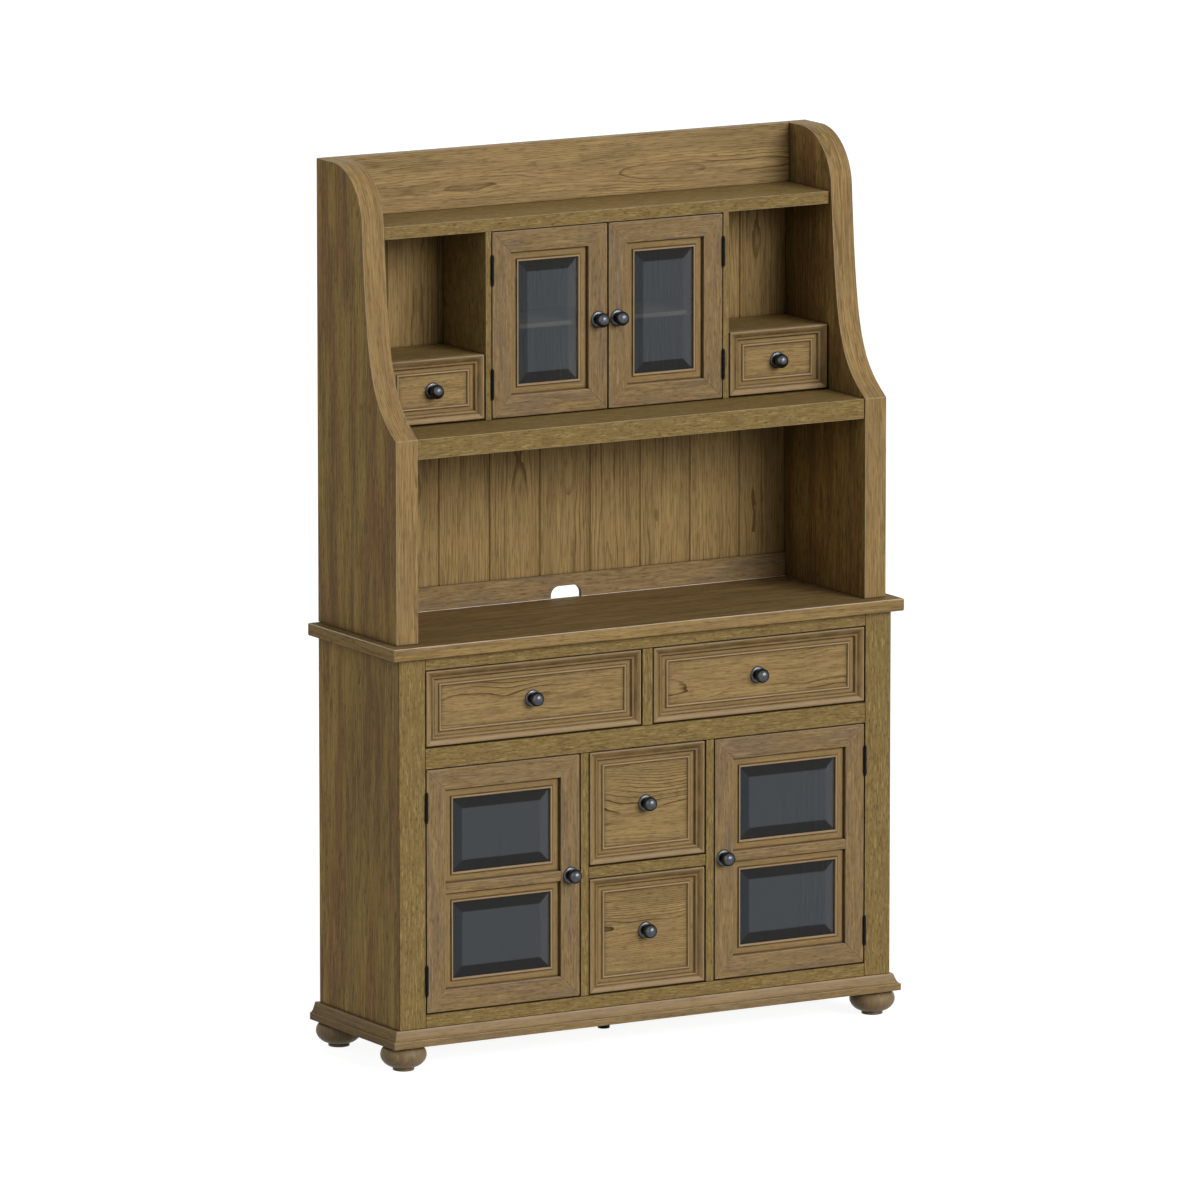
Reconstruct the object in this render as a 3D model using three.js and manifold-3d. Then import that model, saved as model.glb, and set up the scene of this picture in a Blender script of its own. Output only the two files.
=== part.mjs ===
// Dresser with a hutch: a base cabinet on bun feet, a counter, and an open upper cabinet.
// Units are millimetres, +Z is up, the doors and drawers face -Y, +X is to the viewer's right.
// Everything is drawn in a bench frame whose y = 0 is the front of the base's face frame and
// whose z = 0 is the floor; the last lines centre the whole dresser over its origin.

import * as THREE from "three";
import { mergeVertices } from "three/addons/utils/BufferGeometryUtils.js";
import Module from "manifold-3d";

const wasm = await Module();
wasm.setup();

// Fits
const hairline = 0.3;
const runningGap = 0.5;
const reveal = 2.7;
const meetingGap = 4;
const overrun = 5;

// Counter and base carcass
const counterWidth = 1270;
const counterThickness = 27.8;
const counterRound = 2.5;
const counterSideOverhang = 22.3;
const counterFrontOverhang = 20.1;
const counterBackOverhang = 7.9;
const carcassDepth = 355;
const carcassHeight = 805.5;
const carcassBoard = 18;
const faceFrameThickness = 20;
const backPanelThickness = 6;

// Base moulding and feet
const footHeight = 54.5;
const mouldingHeight = 37.5;
const mouldingBandHeight = 15.3;
const mouldingSideReach = 20.6;
const mouldingFrontReach = 14.5;
const mouldingBackReach = 7.3;
const mouldingSlope = 14.2;
const mouldingLip = 1.5;
const mouldingHollowShare = 0.58;
const footRadius = 50;
const footPadRadius = 23.2;
const footPadHeight = 6;
const footSeatShare = 0.8;
// The belly's outline: how far out and how far up each ring lies, as shares of the whole.
const footBellyShares = [
  [0.27, 0.07],
  [0.54, 0.17],
  [0.83, 0.35],
  [0.97, 0.5],
  [1, 0.64],
  [0.98, 0.78],
  [0.88, 0.95],
];
const footSideInset = 46.6;
const footDepthInset = 45;
const supportRadius = 13.5;
const supportLift = 0.5;
const supportSetback = 189;

// Face frame openings
const outerStileWidth = 64.8;
const midStileWidth = 20.4;
const drawerDividerWidth = 26;
const centreBayWidth = 292;
const topRailHeight = 28.4;
const topDrawerOpening = 168.4;
const midRailHeight = 45.8;
const bottomRailHeight = 29.3;
const centreRailHeight = 25.8;
const upperCentreOpening = 251;

// Drawers
const drawerFrontThickness = 20;
const drawerWall = 12;
const drawerBottom = 6;
const drawerSideClearance = 6;
const drawerTopClearance = 16;
const drawerRearClearance = 12;
const deckThickness = 16;
const cleatWidth = 18;
const cleatHeight = 16;
const hutchDrawerBoxHeight = 122;

// Moulded drawer front, read from its edge to its middle on the top and bottom rails
const frontRound = 1.6;
const frontLandWidth = 8.6;
const frontSlopeWidth = 5;
const frontSlopeDepth = 3.4;
const frontStepWidth = 5;
const frontBandWidth = 9;
const frontBeadWidth = 5.6;
const frontBeadHeight = 2.8;
const frontRecess = 8;
const frontSideWidthShare = 1.15;

// Doors
const doorThickness = 20;
const doorFrameWidth = 46;
const doorStepDepth = 9;
const doorSubFrameWidth = 17;
const doorBeadWidth = 5.6;
const doorBeadHeight = 2.2;
const doorMidRailHeight = 21.4;
const doorMidRailRise = 390.7;
const glassThickness = 4;
const glassOverlap = 8;
const glassBevelWidth = 22;
const glassBevelDepth = 1.4;
const glassSetback = 12;

// Knobs and hinges
const knobStandoff = 18.2;
const knobBallRadius = 15.7;
const knobBallHalfLength = 14.3;
const knobNeckRadius = 6.4;
const rosetteRadius = 18;
const rosetteThickness = 3.6;
const rosetteShoulderShares = [0.9, 0.75];
const rosetteTopShare = 0.6;
const hingeHeight = 68;
const hingeBarrelRadius = 3.1;
const hingeBarrelStandoff = 3.6;
const hingeLeafDepth = 17;
const hingeTopOffset = 80.5;
const hingeBottomOffset = 70.5;
const hutchHingeTopOffset = 82;
const hutchHingeBottomOffset = 74;
const doorKnobInset = 22;
const hutchDoorKnobRise = 198.5;

// Hutch
const hutchSideInset = 26.1;
const hutchFrontInset = 35.9;
const hutchSideThickness = 53.7;
const kneeHeight = 440.2;
const hutchHeight = 1006.7;
const crownRadius = 130;
const crownSetback = 146.2;
// The two pulls on the curve above the knee, as shares of its depth and height.
const sweepShares = [
  [0.71, 0.155],
  [0.85, 0.28],
];
const lowerShelfThickness = 44;
const lowerShelfSetback = 3.9;
const upperSetback = 154.5;
const topShelfThickness = 27.9;
const topBoardHeight = 130.4;
const topBoardThickness = 22.7;
const beadboardThickness = 6;
const beadPitch = 125.7;
const beadGrooveWidth = 4.4;
const beadGrooveDepth = 2.2;
const railBedShare = 1.2;
const backRailHeight = 53.1;
const backRailThickness = 5;
const cableSlotWidth = 76;
const cableSlotHeight = 27.4;
const cableSlotCorner = 20;
const dividerThickness = 13.6;
const hutchBayWidth = 576.8;
const hutchDrawerReveal = 3.6;
const hutchDrawerHeight = 139.4;
const hutchDrawerLift = 3.8;
const deckBoardThickness = 12;
const deckFrontClearance = 1;
const cabinetShelfThickness = 10;
const cabinetShelfRise = 197;
const cabinetShelfSetback = 28;

// Round shapes are drawn with these numbers of facets
const footFacets = 28;
const knobFacets = 20;
const barrelFacets = 12;
const curveFacets = 14;

// Places worked out from the sizes above
const counterHalf = counterWidth / 2;
const carcassHalf = counterHalf - counterSideOverhang;
const counterBack = carcassDepth + counterBackOverhang;
const slabTop = footHeight + mouldingHeight;
const carcassTop = slabTop + carcassHeight;
const counterTop = carcassTop + counterThickness;
const sideInner = carcassHalf - carcassBoard;
const bayOuter = carcassHalf - outerStileWidth;
const centreBayHalf = centreBayWidth / 2;
const bayInner = centreBayHalf + midStileWidth;
const dividerHalf = drawerDividerWidth / 2;
const topOpeningTop = carcassTop - topRailHeight;
const topOpeningBottom = topOpeningTop - topDrawerOpening;
const bayTop = topOpeningBottom - midRailHeight;
const bayBottom = slabTop + bottomRailHeight;
const upperCentreBottom = bayTop - upperCentreOpening;
const lowerCentreTop = upperCentreBottom - centreRailHeight;
const backPanelFront = carcassDepth - backPanelThickness;
const footX = carcassHalf + mouldingSideReach - footSideInset;
const footFrontY = footDepthInset - mouldingFrontReach;
const footBackY = carcassDepth + mouldingBackReach - footDepthInset;

const hutchOuter = counterHalf - hutchSideInset;
const hutchInner = hutchOuter - hutchSideThickness;
const hutchFront = hutchFrontInset - counterFrontOverhang;
const hutchTop = counterTop + hutchHeight;
const kneeTop = counterTop + kneeHeight;
const lowerShelfBottom = kneeTop - lowerShelfThickness;
const upperFront = hutchFront + upperSetback;
const topShelfTop = hutchTop - topBoardHeight;
const topShelfBottom = topShelfTop - topShelfThickness;
const beadboardBack = counterBack;
const beadboardFront = beadboardBack - beadboardThickness;
const backRailFront = beadboardFront - backRailThickness;
const hutchBayHalf = hutchBayWidth / 2;
const dividerOuter = hutchBayHalf + dividerThickness;
const hutchDrawerBottomEdge = kneeTop + hutchDrawerLift;
const hutchDrawerTopEdge = hutchDrawerBottomEdge + hutchDrawerHeight;
const deckTop = hutchDrawerTopEdge - deckFrontClearance;

// Finishes: weathered oak, smoked glass, gunmetal knobs and blackened hinges
const oak = { color: 0x8b754a, roughness: 0.62, metalness: 0 };
const shadedOak = { color: 0x6b5532, roughness: 0.6, metalness: 0 };
const drawerOak = { color: 0x9c8761, roughness: 0.75, metalness: 0 };
const smokedGlass = {
  color: 0x474b4d,
  roughness: 0.08,
  metalness: 0,
  transparent: true,
  opacity: 0.6,
};
const gunmetal = { color: 0x282c34, roughness: 0.3, metalness: 1 };
const blackIron = { color: 0x1d1c1e, roughness: 0.5, metalness: 1 };

const dresser = new THREE.Group();

function addPiece(name, geometry, finish, place = [0, 0, 0]) {
  const mesh = new THREE.Mesh(geometry, new THREE.MeshStandardMaterial(finish));
  mesh.name = name;
  mesh.position.set(...place);
  dresser.add(mesh);
  return mesh;
}

// A solid is kept as bare positions with shared corners, turned so that its faces point out.
function closeSolid(geometry) {
  geometry.deleteAttribute("normal");
  geometry.deleteAttribute("uv");
  const merged = mergeVertices(geometry.index ? geometry.toNonIndexed() : geometry);
  const at = merged.attributes.position;
  const index = merged.index.array;
  const corners = [new THREE.Vector3(), new THREE.Vector3(), new THREE.Vector3()];
  let volume = 0;
  for (let i = 0; i < index.length; i += 3) {
    corners.forEach((corner, k) => corner.fromBufferAttribute(at, index[i + k]));
    volume += corners[0].dot(corners[1].clone().cross(corners[2]));
  }
  if (volume < 0) {
    for (let i = 0; i < index.length; i += 3) {
      [index[i], index[i + 1]] = [index[i + 1], index[i]];
    }
  }
  return merged;
}

// Skins a stack of rings, each a list of as many corners, and closes its two ends.
function loftRings(rings) {
  const positions = rings.flat(2);
  const count = rings[0].length;
  const index = [];
  for (let ring = 0; ring + 1 < rings.length; ring += 1) {
    for (let k = 0; k < count; k += 1) {
      const a = ring * count + k;
      const b = ring * count + ((k + 1) % count);
      index.push(a, b, b + count, a, b + count, a + count);
    }
  }
  const last = (rings.length - 1) * count;
  for (let k = 1; k + 1 < count; k += 1) {
    index.push(0, k + 1, k);
    index.push(last, last + k, last + k + 1);
  }
  const geometry = new THREE.BufferGeometry();
  geometry.setAttribute("position", new THREE.Float32BufferAttribute(positions, 3));
  geometry.setIndex(index);
  return closeSolid(geometry);
}

function levelRing([x0, x1], [y0, y1], z) {
  return [[x0, y0, z], [x1, y0, z], [x1, y1, z], [x0, y1, z]];
}

function uprightRing([x0, x1], [z0, z1], y) {
  return [[x0, y, z0], [x1, y, z0], [x1, y, z1], [x0, y, z1]];
}

function toManifold(geometry) {
  const solid = closeSolid(geometry.clone());
  return new wasm.Manifold(new wasm.Mesh({
    numProp: 3,
    vertProperties: new Float32Array(solid.attributes.position.array),
    triVerts: new Uint32Array(solid.index.array),
  }));
}

function fromManifold(solid) {
  const mesh = solid.getMesh();
  const geometry = new THREE.BufferGeometry();
  geometry.setAttribute("position", new THREE.Float32BufferAttribute(mesh.vertProperties, 3));
  geometry.setIndex(Array.from(mesh.triVerts));
  return closeSolid(geometry);
}

function boxBetween([x0, x1], [y0, y1], [z0, z1]) {
  const box = new THREE.BoxGeometry(x1 - x0, y1 - y0, z1 - z0);
  return box.translate((x0 + x1) / 2, (y0 + y1) / 2, (z0 + z1) / 2);
}

// A plain board. It is drawn half a hairline short on every face, so that boards that meet
// share a seam one hairline wide.
function board(name, [x0, x1], [y0, y1], [z0, z1], finish = oak) {
  const box = new THREE.BoxGeometry(x1 - x0 - hairline, y1 - y0 - hairline, z1 - z0 - hairline);
  return addPiece(name, closeSolid(box), finish, [(x0 + x1) / 2, (y0 + y1) / 2, (z0 + z1) / 2]);
}

const mirrored = (side, [x0, x1]) => (side > 0 ? [x0, x1] : [-x1, -x0]);

// Spins a profile of [radius, height] points about a standing axis.
function turned(profile, facets) {
  const points = profile.map(([radius, height]) => new THREE.Vector2(radius, height));
  return closeSolid(new THREE.LatheGeometry(points, facets).rotateX(Math.PI / 2));
}

function buildCounter() {
  const x = (inset) => [-counterHalf + inset, counterHalf - inset];
  const y = (inset) => [-counterFrontOverhang + inset, counterBack - inset];
  const low = carcassTop + hairline / 2;
  const high = counterTop - hairline / 2;
  addPiece("counter_top", loftRings([
    levelRing(x(counterRound), y(counterRound), low),
    levelRing(x(0), y(0), low + counterRound),
    levelRing(x(0), y(0), high - counterRound),
    levelRing(x(counterRound), y(counterRound), high),
  ]), oak);
}

// The moulded slab is the cabinet's floor. Its profile runs round the front and both ends, and
// a round support in the middle takes the slab's sag.
function buildMoulding() {
  const sideReach = carcassHalf + mouldingSideReach;
  const ring = (inset, z) => levelRing(
    [-sideReach + inset, sideReach - inset],
    [-mouldingFrontReach + inset, carcassDepth + mouldingBackReach],
    z,
  );
  const bottom = footHeight + hairline / 2;
  const top = slabTop - hairline / 2;
  const bandTop = footHeight + mouldingBandHeight;
  const sag = (top - mouldingLip - bandTop) / 2;
  const slab = toManifold(loftRings([
    ring(0, bottom),
    ring(0, bandTop),
    ring(mouldingSlope * mouldingHollowShare, bandTop + sag),
    ring(mouldingSlope - mouldingLip, top - mouldingLip),
    ring(mouldingSlope, top),
  ]));
  const supportTop = bottom + mouldingBandHeight / 2;
  const support = new THREE.CylinderGeometry(
    supportRadius, supportRadius, supportTop - supportLift, footFacets);
  support.rotateX(Math.PI / 2);
  support.translate(0, supportSetback, (supportTop + supportLift) / 2);
  addPiece("base_moulding", fromManifold(slab.add(toManifold(support))), oak);
}

// Each bun foot is turned: a small pad on the floor, a belly, and a flat seat under the slab.
function buildFeet() {
  const top = footHeight - hairline / 2;
  const bellyHeight = top - footPadHeight;
  const swell = footRadius - footPadRadius;
  const profile = [
    [0, 0],
    [footPadRadius - hairline, 0],
    [footPadRadius, footPadHeight / 3],
    [footPadRadius, footPadHeight],
    ...footBellyShares.map(([out, up]) => [
      footPadRadius + swell * out,
      footPadHeight + bellyHeight * up,
    ]),
    [footPadRadius + swell * footSeatShare, top],
    [0, top],
  ];
  for (const [end, y] of [["front", footFrontY], ["back", footBackY]]) {
    for (const [hand, side] of [["left", -1], ["right", 1]]) {
      addPiece(`foot_${end}_${hand}`, turned(profile, footFacets), oak, [side * footX, y, 0]);
    }
  }
}

// The face frame is one glued frame, a board cut through by its six openings.
function buildFaceFrame() {
  const half = carcassHalf - hairline / 2;
  const heights = [slabTop + hairline / 2, carcassTop - hairline / 2];
  const thickness = [0, faceFrameThickness - hairline / 2];
  let frame = toManifold(boxBetween([-half, half], thickness, heights));
  const through = [-overrun, faceFrameThickness + overrun];
  const centre = [-centreBayHalf, centreBayHalf];
  const openings = [
    [[-bayOuter, -dividerHalf], [topOpeningBottom, topOpeningTop]],
    [[dividerHalf, bayOuter], [topOpeningBottom, topOpeningTop]],
    [[-bayOuter, -bayInner], [bayBottom, bayTop]],
    [[bayInner, bayOuter], [bayBottom, bayTop]],
    [centre, [upperCentreBottom, bayTop]],
    [centre, [bayBottom, lowerCentreTop]],
  ];
  for (const [x, z] of openings) {
    frame = frame.subtract(toManifold(boxBetween(x, through, z)));
  }
  addPiece("base_face_frame", fromManifold(frame), oak);
}

// The inner case: two partitions beside the centre drawers, a deck that carries the top
// drawers, and the cleats that the centre drawers run on.
function buildDrawerCase() {
  const y = [faceFrameThickness + hairline / 2, backPanelFront - hairline / 2];
  const deckLow = topOpeningBottom - deckThickness;
  const innerFace = centreBayHalf + (midStileWidth - carcassBoard) / 2;
  const deckHalf = sideInner - hairline / 2;
  let inner = toManifold(boxBetween([-deckHalf, deckHalf], y, [deckLow, topOpeningBottom]));
  for (const side of [-1, 1]) {
    const wall = mirrored(side, [innerFace, innerFace + carcassBoard]);
    const rise = [slabTop + hairline / 2, deckLow + hairline];
    inner = inner.add(toManifold(boxBetween(wall, y, rise)));
    for (const runnerTop of [bayBottom, upperCentreBottom]) {
      const cleat = mirrored(side, [innerFace - cleatWidth, innerFace + hairline]);
      inner = inner.add(toManifold(boxBetween(cleat, y, [runnerTop - cleatHeight, runnerTop])));
    }
  }
  addPiece("drawer_case", fromManifold(inner), drawerOak);
}

function buildBaseCarcass() {
  const walls = [slabTop, carcassTop];
  board("base_side_left", [-carcassHalf, -sideInner], [faceFrameThickness, carcassDepth], walls);
  board("base_side_right", [sideInner, carcassHalf], [faceFrameThickness, carcassDepth], walls);
  const backDepth = [backPanelFront, carcassDepth];
  board("base_back_panel", [-sideInner, sideInner], backDepth, walls, drawerOak);
}

// A hutch side follows the counter's edge straight up to the knee, sweeps back in one curve,
// and closes over the top in a quarter round.
function buildHutchSides() {
  const back = counterBack;
  const crownFront = hutchFront + crownSetback;
  const crownBase = hutchTop - crownRadius;
  const sweepDepth = crownFront - hutchFront;
  const sweepHeight = crownBase - kneeTop;
  const [low, high] = sweepShares.map(([inward, upward]) => [
    hutchFront + sweepDepth * inward,
    kneeTop + sweepHeight * upward,
  ]);
  const outline = new THREE.Shape();
  const foot = counterTop + hairline / 2;
  outline.moveTo(back, foot).lineTo(hutchFront, foot).lineTo(hutchFront, kneeTop);
  outline.bezierCurveTo(...low, ...high, crownFront, crownBase);
  outline.absarc(crownFront + crownRadius, crownBase, crownRadius, Math.PI, Math.PI / 2, true);
  outline.lineTo(back, hutchTop).closePath();
  const depth = hutchSideThickness - hairline / 2;
  for (const [hand, side] of [["left", -1], ["right", 1]]) {
    const panel = new THREE.ExtrudeGeometry(
      outline, { depth, bevelEnabled: false, curveSegments: curveFacets });
    panel.rotateX(Math.PI / 2);
    panel.rotateZ(Math.PI / 2);
    const outer = side > 0 ? hutchOuter - depth : -hutchOuter;
    addPiece(`hutch_side_${hand}`, closeSolid(panel), oak, [outer, 0, 0]);
  }
}

// The beadboard back: planks parted by V grooves, with a rail along the counter that is cut
// through for cables.
function buildHutchBack() {
  const half = hutchInner - hairline / 2;
  const bottom = counterTop + hairline / 2;
  const top = topShelfBottom - hairline / 2;
  const plan = new THREE.Shape();
  plan.moveTo(-half, beadboardBack).lineTo(-half, beadboardFront);
  const grooves = Math.floor(half / beadPitch);
  for (let k = -grooves; k < grooves; k += 1) {
    const x = (k + 0.5) * beadPitch;
    plan.lineTo(x - beadGrooveWidth / 2, beadboardFront);
    plan.lineTo(x, beadboardFront + beadGrooveDepth);
    plan.lineTo(x + beadGrooveWidth / 2, beadboardFront);
  }
  plan.lineTo(half, beadboardFront).lineTo(half, beadboardBack).closePath();
  const planks = new THREE.ExtrudeGeometry(plan, { depth: top - bottom, bevelEnabled: false });
  planks.translate(0, 0, bottom);
  const rail = boxBetween(
    [-half, half], [backRailFront, beadboardFront + beadGrooveDepth * railBedShare],
    [bottom, counterTop + backRailHeight]);
  const slot = new THREE.Shape();
  const slotHalf = cableSlotWidth / 2;
  const slotTop = counterTop + cableSlotHeight;
  slot.moveTo(-slotHalf, counterTop - overrun).lineTo(slotHalf, counterTop - overrun);
  const cornerX = slotHalf - cableSlotCorner;
  const cornerZ = slotTop - cableSlotCorner;
  slot.lineTo(slotHalf, cornerZ);
  slot.absarc(cornerX, cornerZ, cableSlotCorner, 0, Math.PI / 2);
  slot.lineTo(-cornerX, slotTop);
  slot.absarc(-cornerX, cornerZ, cableSlotCorner, Math.PI / 2, Math.PI);
  slot.closePath();
  const cutDepth = beadboardBack - backRailFront + 2 * overrun;
  const cut = new THREE.ExtrudeGeometry(
    slot, { depth: cutDepth, bevelEnabled: false, curveSegments: curveFacets / 2 });
  cut.rotateX(Math.PI / 2);
  cut.translate(0, beadboardBack + overrun, 0);
  const panel = toManifold(planks).add(toManifold(rail)).subtract(toManifold(cut));
  addPiece("hutch_back_panel", fromManifold(panel), oak);
}

function buildHutchBoards() {
  const across = [-hutchInner, hutchInner];
  const shelfFront = hutchFront + lowerShelfSetback;
  board("hutch_lower_shelf", across, [shelfFront, beadboardFront], [lowerShelfBottom, kneeTop]);
  board("hutch_top_shelf", across, [upperFront, counterBack], [topShelfBottom, topShelfTop]);
  board("hutch_top_backboard", across,
    [counterBack - topBoardThickness, counterBack], [topShelfTop, hutchTop]);
  const upper = [upperFront, beadboardFront];
  const shelfHigh = kneeTop + cabinetShelfRise;
  board("cabinet_shelf", [-hutchBayHalf, hutchBayHalf],
    [upperFront + cabinetShelfSetback, beadboardFront],
    [shelfHigh - cabinetShelfThickness, shelfHigh], shadedOak);
  const deckFront = upperFront + drawerFrontThickness + runningGap;
  for (const [hand, side] of [["left", -1], ["right", 1]]) {
    board(`hutch_divider_${hand}`, mirrored(side, [hutchBayHalf, dividerOuter]), upper,
      [kneeTop, topShelfBottom]);
    board(`hutch_deck_${hand}`, mirrored(side, [dividerOuter, hutchInner]),
      [deckFront, beadboardFront], [deckTop - deckBoardThickness, deckTop]);
  }
}

// The knob is one turned piece: a ball, slightly flattened, on a stepped round rosette.
function knobGeometry() {
  const back = rosetteThickness + hairline;
  const steps = 7;
  const start = Math.asin(knobNeckRadius / knobBallRadius);
  const ball = Array.from({ length: steps }, (_, k) => {
    const turn = start + ((Math.PI - start) * (k + 1)) / steps;
    const radius = k + 1 === steps ? 0 : knobBallRadius * Math.sin(turn);
    return [radius, knobStandoff - knobBallHalfLength * Math.cos(turn)];
  });
  const profile = [
    [0, hairline],
    [rosetteRadius, hairline],
    [rosetteRadius, hairline + rosetteThickness / 3],
    [rosetteRadius * rosetteShoulderShares[0], rosetteThickness * rosetteShoulderShares[1]],
    [rosetteRadius * rosetteTopShare, rosetteThickness],
    [knobNeckRadius, back],
    [knobNeckRadius, knobStandoff - knobBallHalfLength * Math.cos(start)],
    ...ball,
  ];
  const points = profile.map(([radius, out]) => new THREE.Vector2(radius, out));
  return closeSolid(new THREE.LatheGeometry(points, knobFacets).rotateZ(Math.PI));
}

function addKnob(name, x, face, z) {
  addPiece(name, knobGeometry(), gunmetal, [x, face, z]);
}

// A drawer front's moulding, from its rounded edge inward: a land, a slope, a step down to a
// flat band, a raised bead, and the sunk panel that carries the knob.
function moulded([x0, x1], [z0, z1], face) {
  const stations = [
    [0, frontRound],
    [frontRound, 0],
    [frontLandWidth, 0],
    [frontSlopeWidth, frontSlopeDepth],
    [frontStepWidth / 2, frontSlopeDepth],
    [frontStepWidth / 2, frontRecess],
    [frontBandWidth, frontRecess],
    [frontBeadWidth / 4, frontRecess - frontBeadHeight],
    [frontBeadWidth / 2, frontRecess - frontBeadHeight],
    [frontBeadWidth / 4, frontRecess],
  ];
  const rings = [uprightRing([x0, x1], [z0, z1], face + drawerFrontThickness)];
  let reach = 0;
  for (const [width, depth] of stations) {
    reach += width;
    const side = reach * frontSideWidthShare;
    rings.push(uprightRing([x0 + side, x1 - side], [z0 + reach, z1 - reach], face + depth));
  }
  return loftRings(rings);
}

// A drawer is a moulded front, an open box behind it and a knob on the sunk panel.
function buildDrawer(name, opening, boxSpan, boxHeights, face, boxBack, gaps) {
  const x = [opening.x[0] + gaps.side, opening.x[1] - gaps.side];
  const z = [opening.z[0] + gaps.bottom, opening.z[1] - gaps.top];
  addPiece(`${name}_front`, moulded(x, z, face), oak);
  const boxFront = face + drawerFrontThickness + hairline;
  const inside = {
    x: [boxSpan[0] + drawerWall, boxSpan[1] - drawerWall],
    y: [boxFront + drawerWall, boxBack - drawerWall],
  };
  addPiece(`${name}_box`, loftRings([
    levelRing(boxSpan, [boxFront, boxBack], boxHeights[0]),
    levelRing(boxSpan, [boxFront, boxBack], boxHeights[1]),
    levelRing(inside.x, inside.y, boxHeights[1]),
    levelRing(inside.x, inside.y, boxHeights[0] + drawerBottom),
  ]), drawerOak);
  addKnob(`${name}_knob`, (x[0] + x[1]) / 2, face + frontRecess, (z[0] + z[1]) / 2);
}

function buildBaseDrawers() {
  const boxBack = backPanelFront - drawerRearClearance;
  const even = { side: reveal, bottom: reveal, top: reveal };
  const boxed = (opening) => [
    [opening.x[0] + drawerSideClearance, opening.x[1] - drawerSideClearance],
    [opening.z[0] + runningGap, opening.z[1] - drawerTopClearance],
  ];
  for (const [hand, side] of [["left", -1], ["right", 1]]) {
    const opening = {
      x: mirrored(side, [dividerHalf, bayOuter]),
      z: [topOpeningBottom, topOpeningTop],
    };
    buildDrawer(`top_drawer_${hand}`, opening, ...boxed(opening), 0, boxBack, even);
  }
  const centre = [-centreBayHalf, centreBayHalf];
  const upper = { x: centre, z: [upperCentreBottom, bayTop] };
  const lower = { x: centre, z: [bayBottom, lowerCentreTop] };
  buildDrawer("centre_drawer_upper", upper, ...boxed(upper), 0, boxBack, even);
  buildDrawer("centre_drawer_lower", lower, ...boxed(lower), 0, boxBack, even);
}

// The small drawers run on the lower shelf, and their fronts cover the edge of the deck above.
function buildHutchDrawers() {
  const gaps = { side: hutchDrawerReveal, bottom: hutchDrawerLift, top: 0 };
  for (const [hand, side] of [["left", -1], ["right", 1]]) {
    const opening = {
      x: mirrored(side, [dividerOuter, hutchInner]),
      z: [kneeTop, hutchDrawerTopEdge],
    };
    const span = [opening.x[0] + drawerSideClearance, opening.x[1] - drawerSideClearance];
    const heights = [kneeTop + runningGap, kneeTop + runningGap + hutchDrawerBoxHeight];
    buildDrawer(`hutch_drawer_${hand}`, opening, span, heights, upperFront,
      beadboardFront - drawerRearClearance, gaps);
  }
}

// The space that a pane shows through: a deep square step, a flat sub-frame, and a bead round
// the glass.
function lightCutter([x0, x1], [z0, z1], face) {
  const stations = [
    [0, -overrun],
    [0, doorStepDepth],
    [doorSubFrameWidth, doorStepDepth],
    [doorBeadWidth / 4, doorStepDepth - doorBeadHeight],
    [doorBeadWidth / 2, doorStepDepth - doorBeadHeight],
    [doorBeadWidth / 4, doorStepDepth],
    [0, glassSetback + hairline],
  ];
  let reach = 0;
  return loftRings(stations.map(([width, depth]) => {
    reach += width;
    return uprightRing([x0 + reach, x1 - reach], [z0 + reach, z1 - reach], face + depth);
  }));
}

// The rabbet is sunk from behind and is one long pocket, so a door with two lights has one pane
// that runs on behind its middle rail.
function paneBounds(lights, margin) {
  return {
    x: [lights[0].x[0] + margin, lights[0].x[1] - margin],
    z: [Math.min(...lights.map((light) => light.z[0])) + margin,
      Math.max(...lights.map((light) => light.z[1])) - margin],
  };
}

function buildPane(name, lights, face) {
  const margin = doorSubFrameWidth + doorBeadWidth;
  const bounds = paneBounds(lights, margin - glassOverlap + hairline);
  const front = face + glassSetback + hairline;
  const body = [front + glassBevelDepth, front + glassThickness];
  let pane = toManifold(boxBetween(bounds.x, body, bounds.z));
  for (const light of lights) {
    const ring = (inset, y) => uprightRing(
      [light.x[0] + margin + inset, light.x[1] - margin - inset],
      [light.z[0] + margin + inset, light.z[1] - margin - inset], y);
    const raised = loftRings([
      ring(0, front + glassThickness - glassBevelDepth),
      ring(0, front + glassBevelDepth),
      ring(glassBevelWidth, front),
    ]);
    pane = pane.add(toManifold(raised));
  }
  addPiece(name, fromManifold(pane), smokedGlass);
}

// A hinge shows as a round barrel over the gap; its closed leaves fill the gap behind it.
function addHinge(name, gap, face, z) {
  const centre = (gap[0] + gap[1]) / 2;
  const barrel = new THREE.CylinderGeometry(
    hingeBarrelRadius, hingeBarrelRadius, hingeHeight, barrelFacets);
  barrel.rotateX(Math.PI / 2);
  barrel.translate(centre, face - hingeBarrelStandoff, z);
  const leaf = boxBetween(
    [gap[0] + hairline, gap[1] - hairline],
    [face - hingeBarrelStandoff, face + hingeLeafDepth],
    [z - hingeHeight / 2, z + hingeHeight / 2]);
  addPiece(name, fromManifold(toManifold(barrel).add(toManifold(leaf))), blackIron);
}

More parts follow.
